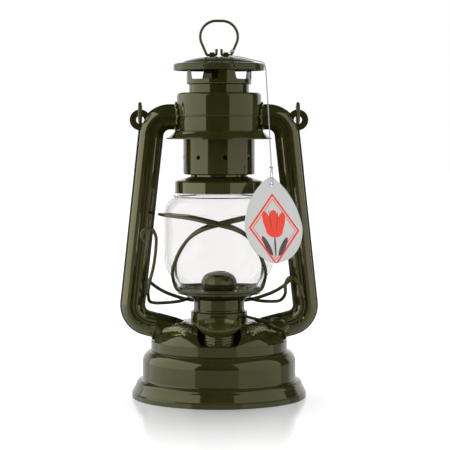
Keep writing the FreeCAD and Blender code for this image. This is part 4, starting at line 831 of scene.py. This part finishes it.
def spring_coil():
    """A helix: the angle grows evenly with the height, at one radius, under a round section."""
    share = np.linspace(0, 1, COIL_TURNS * COIL_STEPS + 1)
    turn = 2 * math.pi * COIL_TURNS * share
    line = np.stack([COIL_RADIUS * np.cos(turn), COIL_RADIUS * np.sin(turn),
                     COIL_LOW + (COIL_HIGH - COIL_LOW) * share], -1)
    made = mesh_object("coil_spring", *swept_tube(line, COIL_WIRE), steel)
    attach(made, "lamp_frame")
    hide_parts("chimney_spring")
    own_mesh(made)


spring_coil()


# ---- hang tag ----------------------------------------------------------------------------------
# A die-cut card, pale grey, that hangs by the thread's loop. It is printed in red and a warm dark
# grey: a double lozenge frame round a tulip that stands between two long leaves.
TAG_PLACE = (0.0385, -0.0230, 0.1603)
TAG_TURN, TAG_TILT, TAG_ROLL = math.radians(36.0), math.radians(-12.0), math.radians(4.8)
CARD_GREY, CARD_SHADE = (0.640, 0.650, 0.635, 1.0), (0.585, 0.595, 0.585, 1.0)
INK_RED, INK_DARK = (0.93, 0.045, 0.015, 1.0), (0.085, 0.062, 0.060, 1.0)
INK_OUTSIDE, INK_INSIDE = 1.03, 0.97
LOZENGE_MIDDLE, LOZENGE_HALF = -0.0335, (0.0232, 0.0268)
OUTER_LINE, OUTER_HALF = 0.96, 0.045
INNER_LINE, INNER_HALF = 0.84, 0.018
# Each printed oval is its middle across and up, its half sizes, and its lean in degrees.
PETALS = ((0.0, -0.0290, 0.0050, 0.0098, 0.0), (-0.0060, -0.0292, 0.0036, 0.0092, -20.0),
          (0.0060, -0.0292, 0.0036, 0.0092, 20.0), (0.0, -0.0345, 0.0078, 0.0052, 0.0))
LEAVES = ((-0.0072, -0.0462, 0.0022, 0.0082, -32.0), (0.0072, -0.0462, 0.0022, 0.0082, 32.0),
          (0.0, -0.0458, 0.0008, 0.0082, 0.0))
VEINS = ((-0.0031, -0.0272, 0.00032, 0.0082, -9.0), (0.0031, -0.0272, 0.00032, 0.0082, 9.0))


def inked_ovals(tree, flat, ovals):
    """A mask that is 1 inside any of the ovals: each is where the place, measured in the oval's
    half sizes, lies less than 1 from its middle."""
    total = None
    for across, up, wide, tall, lean in ovals:
        fitted = node(tree, "Mapping", vector_type="TEXTURE", Location=(across, 0.0, up),
                      Rotation=(0.0, math.radians(lean), 0.0), Scale=(wide, 1.0, tall))
        far = node(tree, "VectorMath", operation="LENGTH")
        inside = node(tree, "MapRange", From_Min=INK_OUTSIDE, From_Max=INK_INSIDE)
        join(tree,
             (flat, fitted.inputs["Vector"]),
             (fitted.outputs[0], far.inputs[0]),
             (far.outputs["Value"], inside.inputs["Value"]))
        if total is None:
            total = inside.outputs["Result"]
            continue
        either = node(tree, "Math", operation="MAXIMUM")
        join(tree, (total, either.inputs[0]), (inside.outputs["Result"], either.inputs[1]))
        total = either.outputs[0]
    return total


def lozenge_line(tree, reach, middle, half):
    """A mask for the outline where the lozenge distance is within half of a line's middle."""
    near = node(tree, "Math", operation="COMPARE")
    near.inputs[1].default_value, near.inputs[2].default_value = middle, half
    join(tree, (reach, near.inputs[0]))
    return near.outputs[0]


def printed(tree, below, mask, ink):
    """Ink over the colour below, where the mask is 1."""
    laid = node(tree, "Mix", data_type="RGBA")
    laid.inputs["B"].default_value = ink
    join(tree, (below, laid.inputs["A"]), (mask, laid.inputs["Factor"]))
    return laid.outputs["Result"]


card, tree, output = new_material("tag_card")
surface = node(tree, "BsdfPrincipled", IOR=1.45)
place = node(tree, "TexCoord")
tag_turned = (Matrix.Rotation(TAG_TURN, 3, "Z") @ Matrix.Rotation(TAG_TILT, 3, "X")
              @ Matrix.Rotation(TAG_ROLL, 3, "Y")).to_euler()
own = node(tree, "Mapping", vector_type="TEXTURE", Location=TAG_PLACE, Rotation=tuple(tag_turned))
level = node(tree, "VectorMath", operation="MULTIPLY")
level.inputs[1].default_value = (1.0, 0.0, 1.0)
flat = level.outputs[0]
fibre = node(tree, "TexNoise", Scale=700.0, Detail=4.0, Roughness=0.7)
broad = node(tree, "TexNoise", Scale=60.0, Detail=2.0)
paper = ramp(tree, CARD_SHADE, CARD_GREY, start=0.25, end=0.75)
blend = node(tree, "Math", operation="ADD")
half = node(tree, "Math", operation="MULTIPLY")
half.inputs[1].default_value = 0.5
smooth = node(tree, "MapRange", From_Min=0.3, From_Max=0.7, To_Min=0.38, To_Max=0.52)
join(tree,
     (place.outputs["Object"], own.inputs["Vector"]),
     (own.outputs[0], level.inputs[0]),
     (place.outputs["Object"], fibre.inputs["Vector"]),
     (place.outputs["Object"], broad.inputs["Vector"]),
     (fibre.outputs["Fac"], blend.inputs[0]),
     (broad.outputs["Fac"], blend.inputs[1]),
     (blend.outputs[0], half.inputs[0]),
     (half.outputs[0], paper.inputs[0]),
     (fibre.outputs["Fac"], smooth.inputs["Value"]),
     (smooth.outputs["Result"], surface.inputs["Roughness"]),
     (surface.outputs[0], output.inputs["Surface"]))
bump_from(tree, fibre.outputs["Fac"], strength=0.2, distance=0.00003, target=surface)

# The lozenge distance is the sum of the distances across and up, each in the lozenge's half size.
centred = node(tree, "VectorMath", operation="SUBTRACT")
centred.inputs[1].default_value = (0.0, 0.0, LOZENGE_MIDDLE)
scaled = node(tree, "VectorMath", operation="DIVIDE")
scaled.inputs[1].default_value = (LOZENGE_HALF[0], 1.0, LOZENGE_HALF[1])
folded = node(tree, "VectorMath", operation="ABSOLUTE")
parts = node(tree, "SeparateXYZ")
reach = node(tree, "Math", operation="ADD")
join(tree,
     (flat, centred.inputs[0]),
     (centred.outputs[0], scaled.inputs[0]),
     (scaled.outputs[0], folded.inputs[0]),
     (folded.outputs[0], parts.inputs[0]),
     (parts.outputs["X"], reach.inputs[0]),
     (parts.outputs["Z"], reach.inputs[1]))
colour = paper.outputs[0]
for mask, ink in ((lozenge_line(tree, reach.outputs[0], OUTER_LINE, OUTER_HALF), INK_RED),
                  (lozenge_line(tree, reach.outputs[0], INNER_LINE, INNER_HALF), INK_RED),
                  (inked_ovals(tree, flat, LEAVES), INK_DARK),
                  (inked_ovals(tree, flat, PETALS), INK_RED),
                  (inked_ovals(tree, flat, VEINS), INK_DARK)):
    colour = printed(tree, colour, mask, ink)
join(tree, (colour, surface.inputs["Base Color"]))
finish_with(card, "hang_tag")
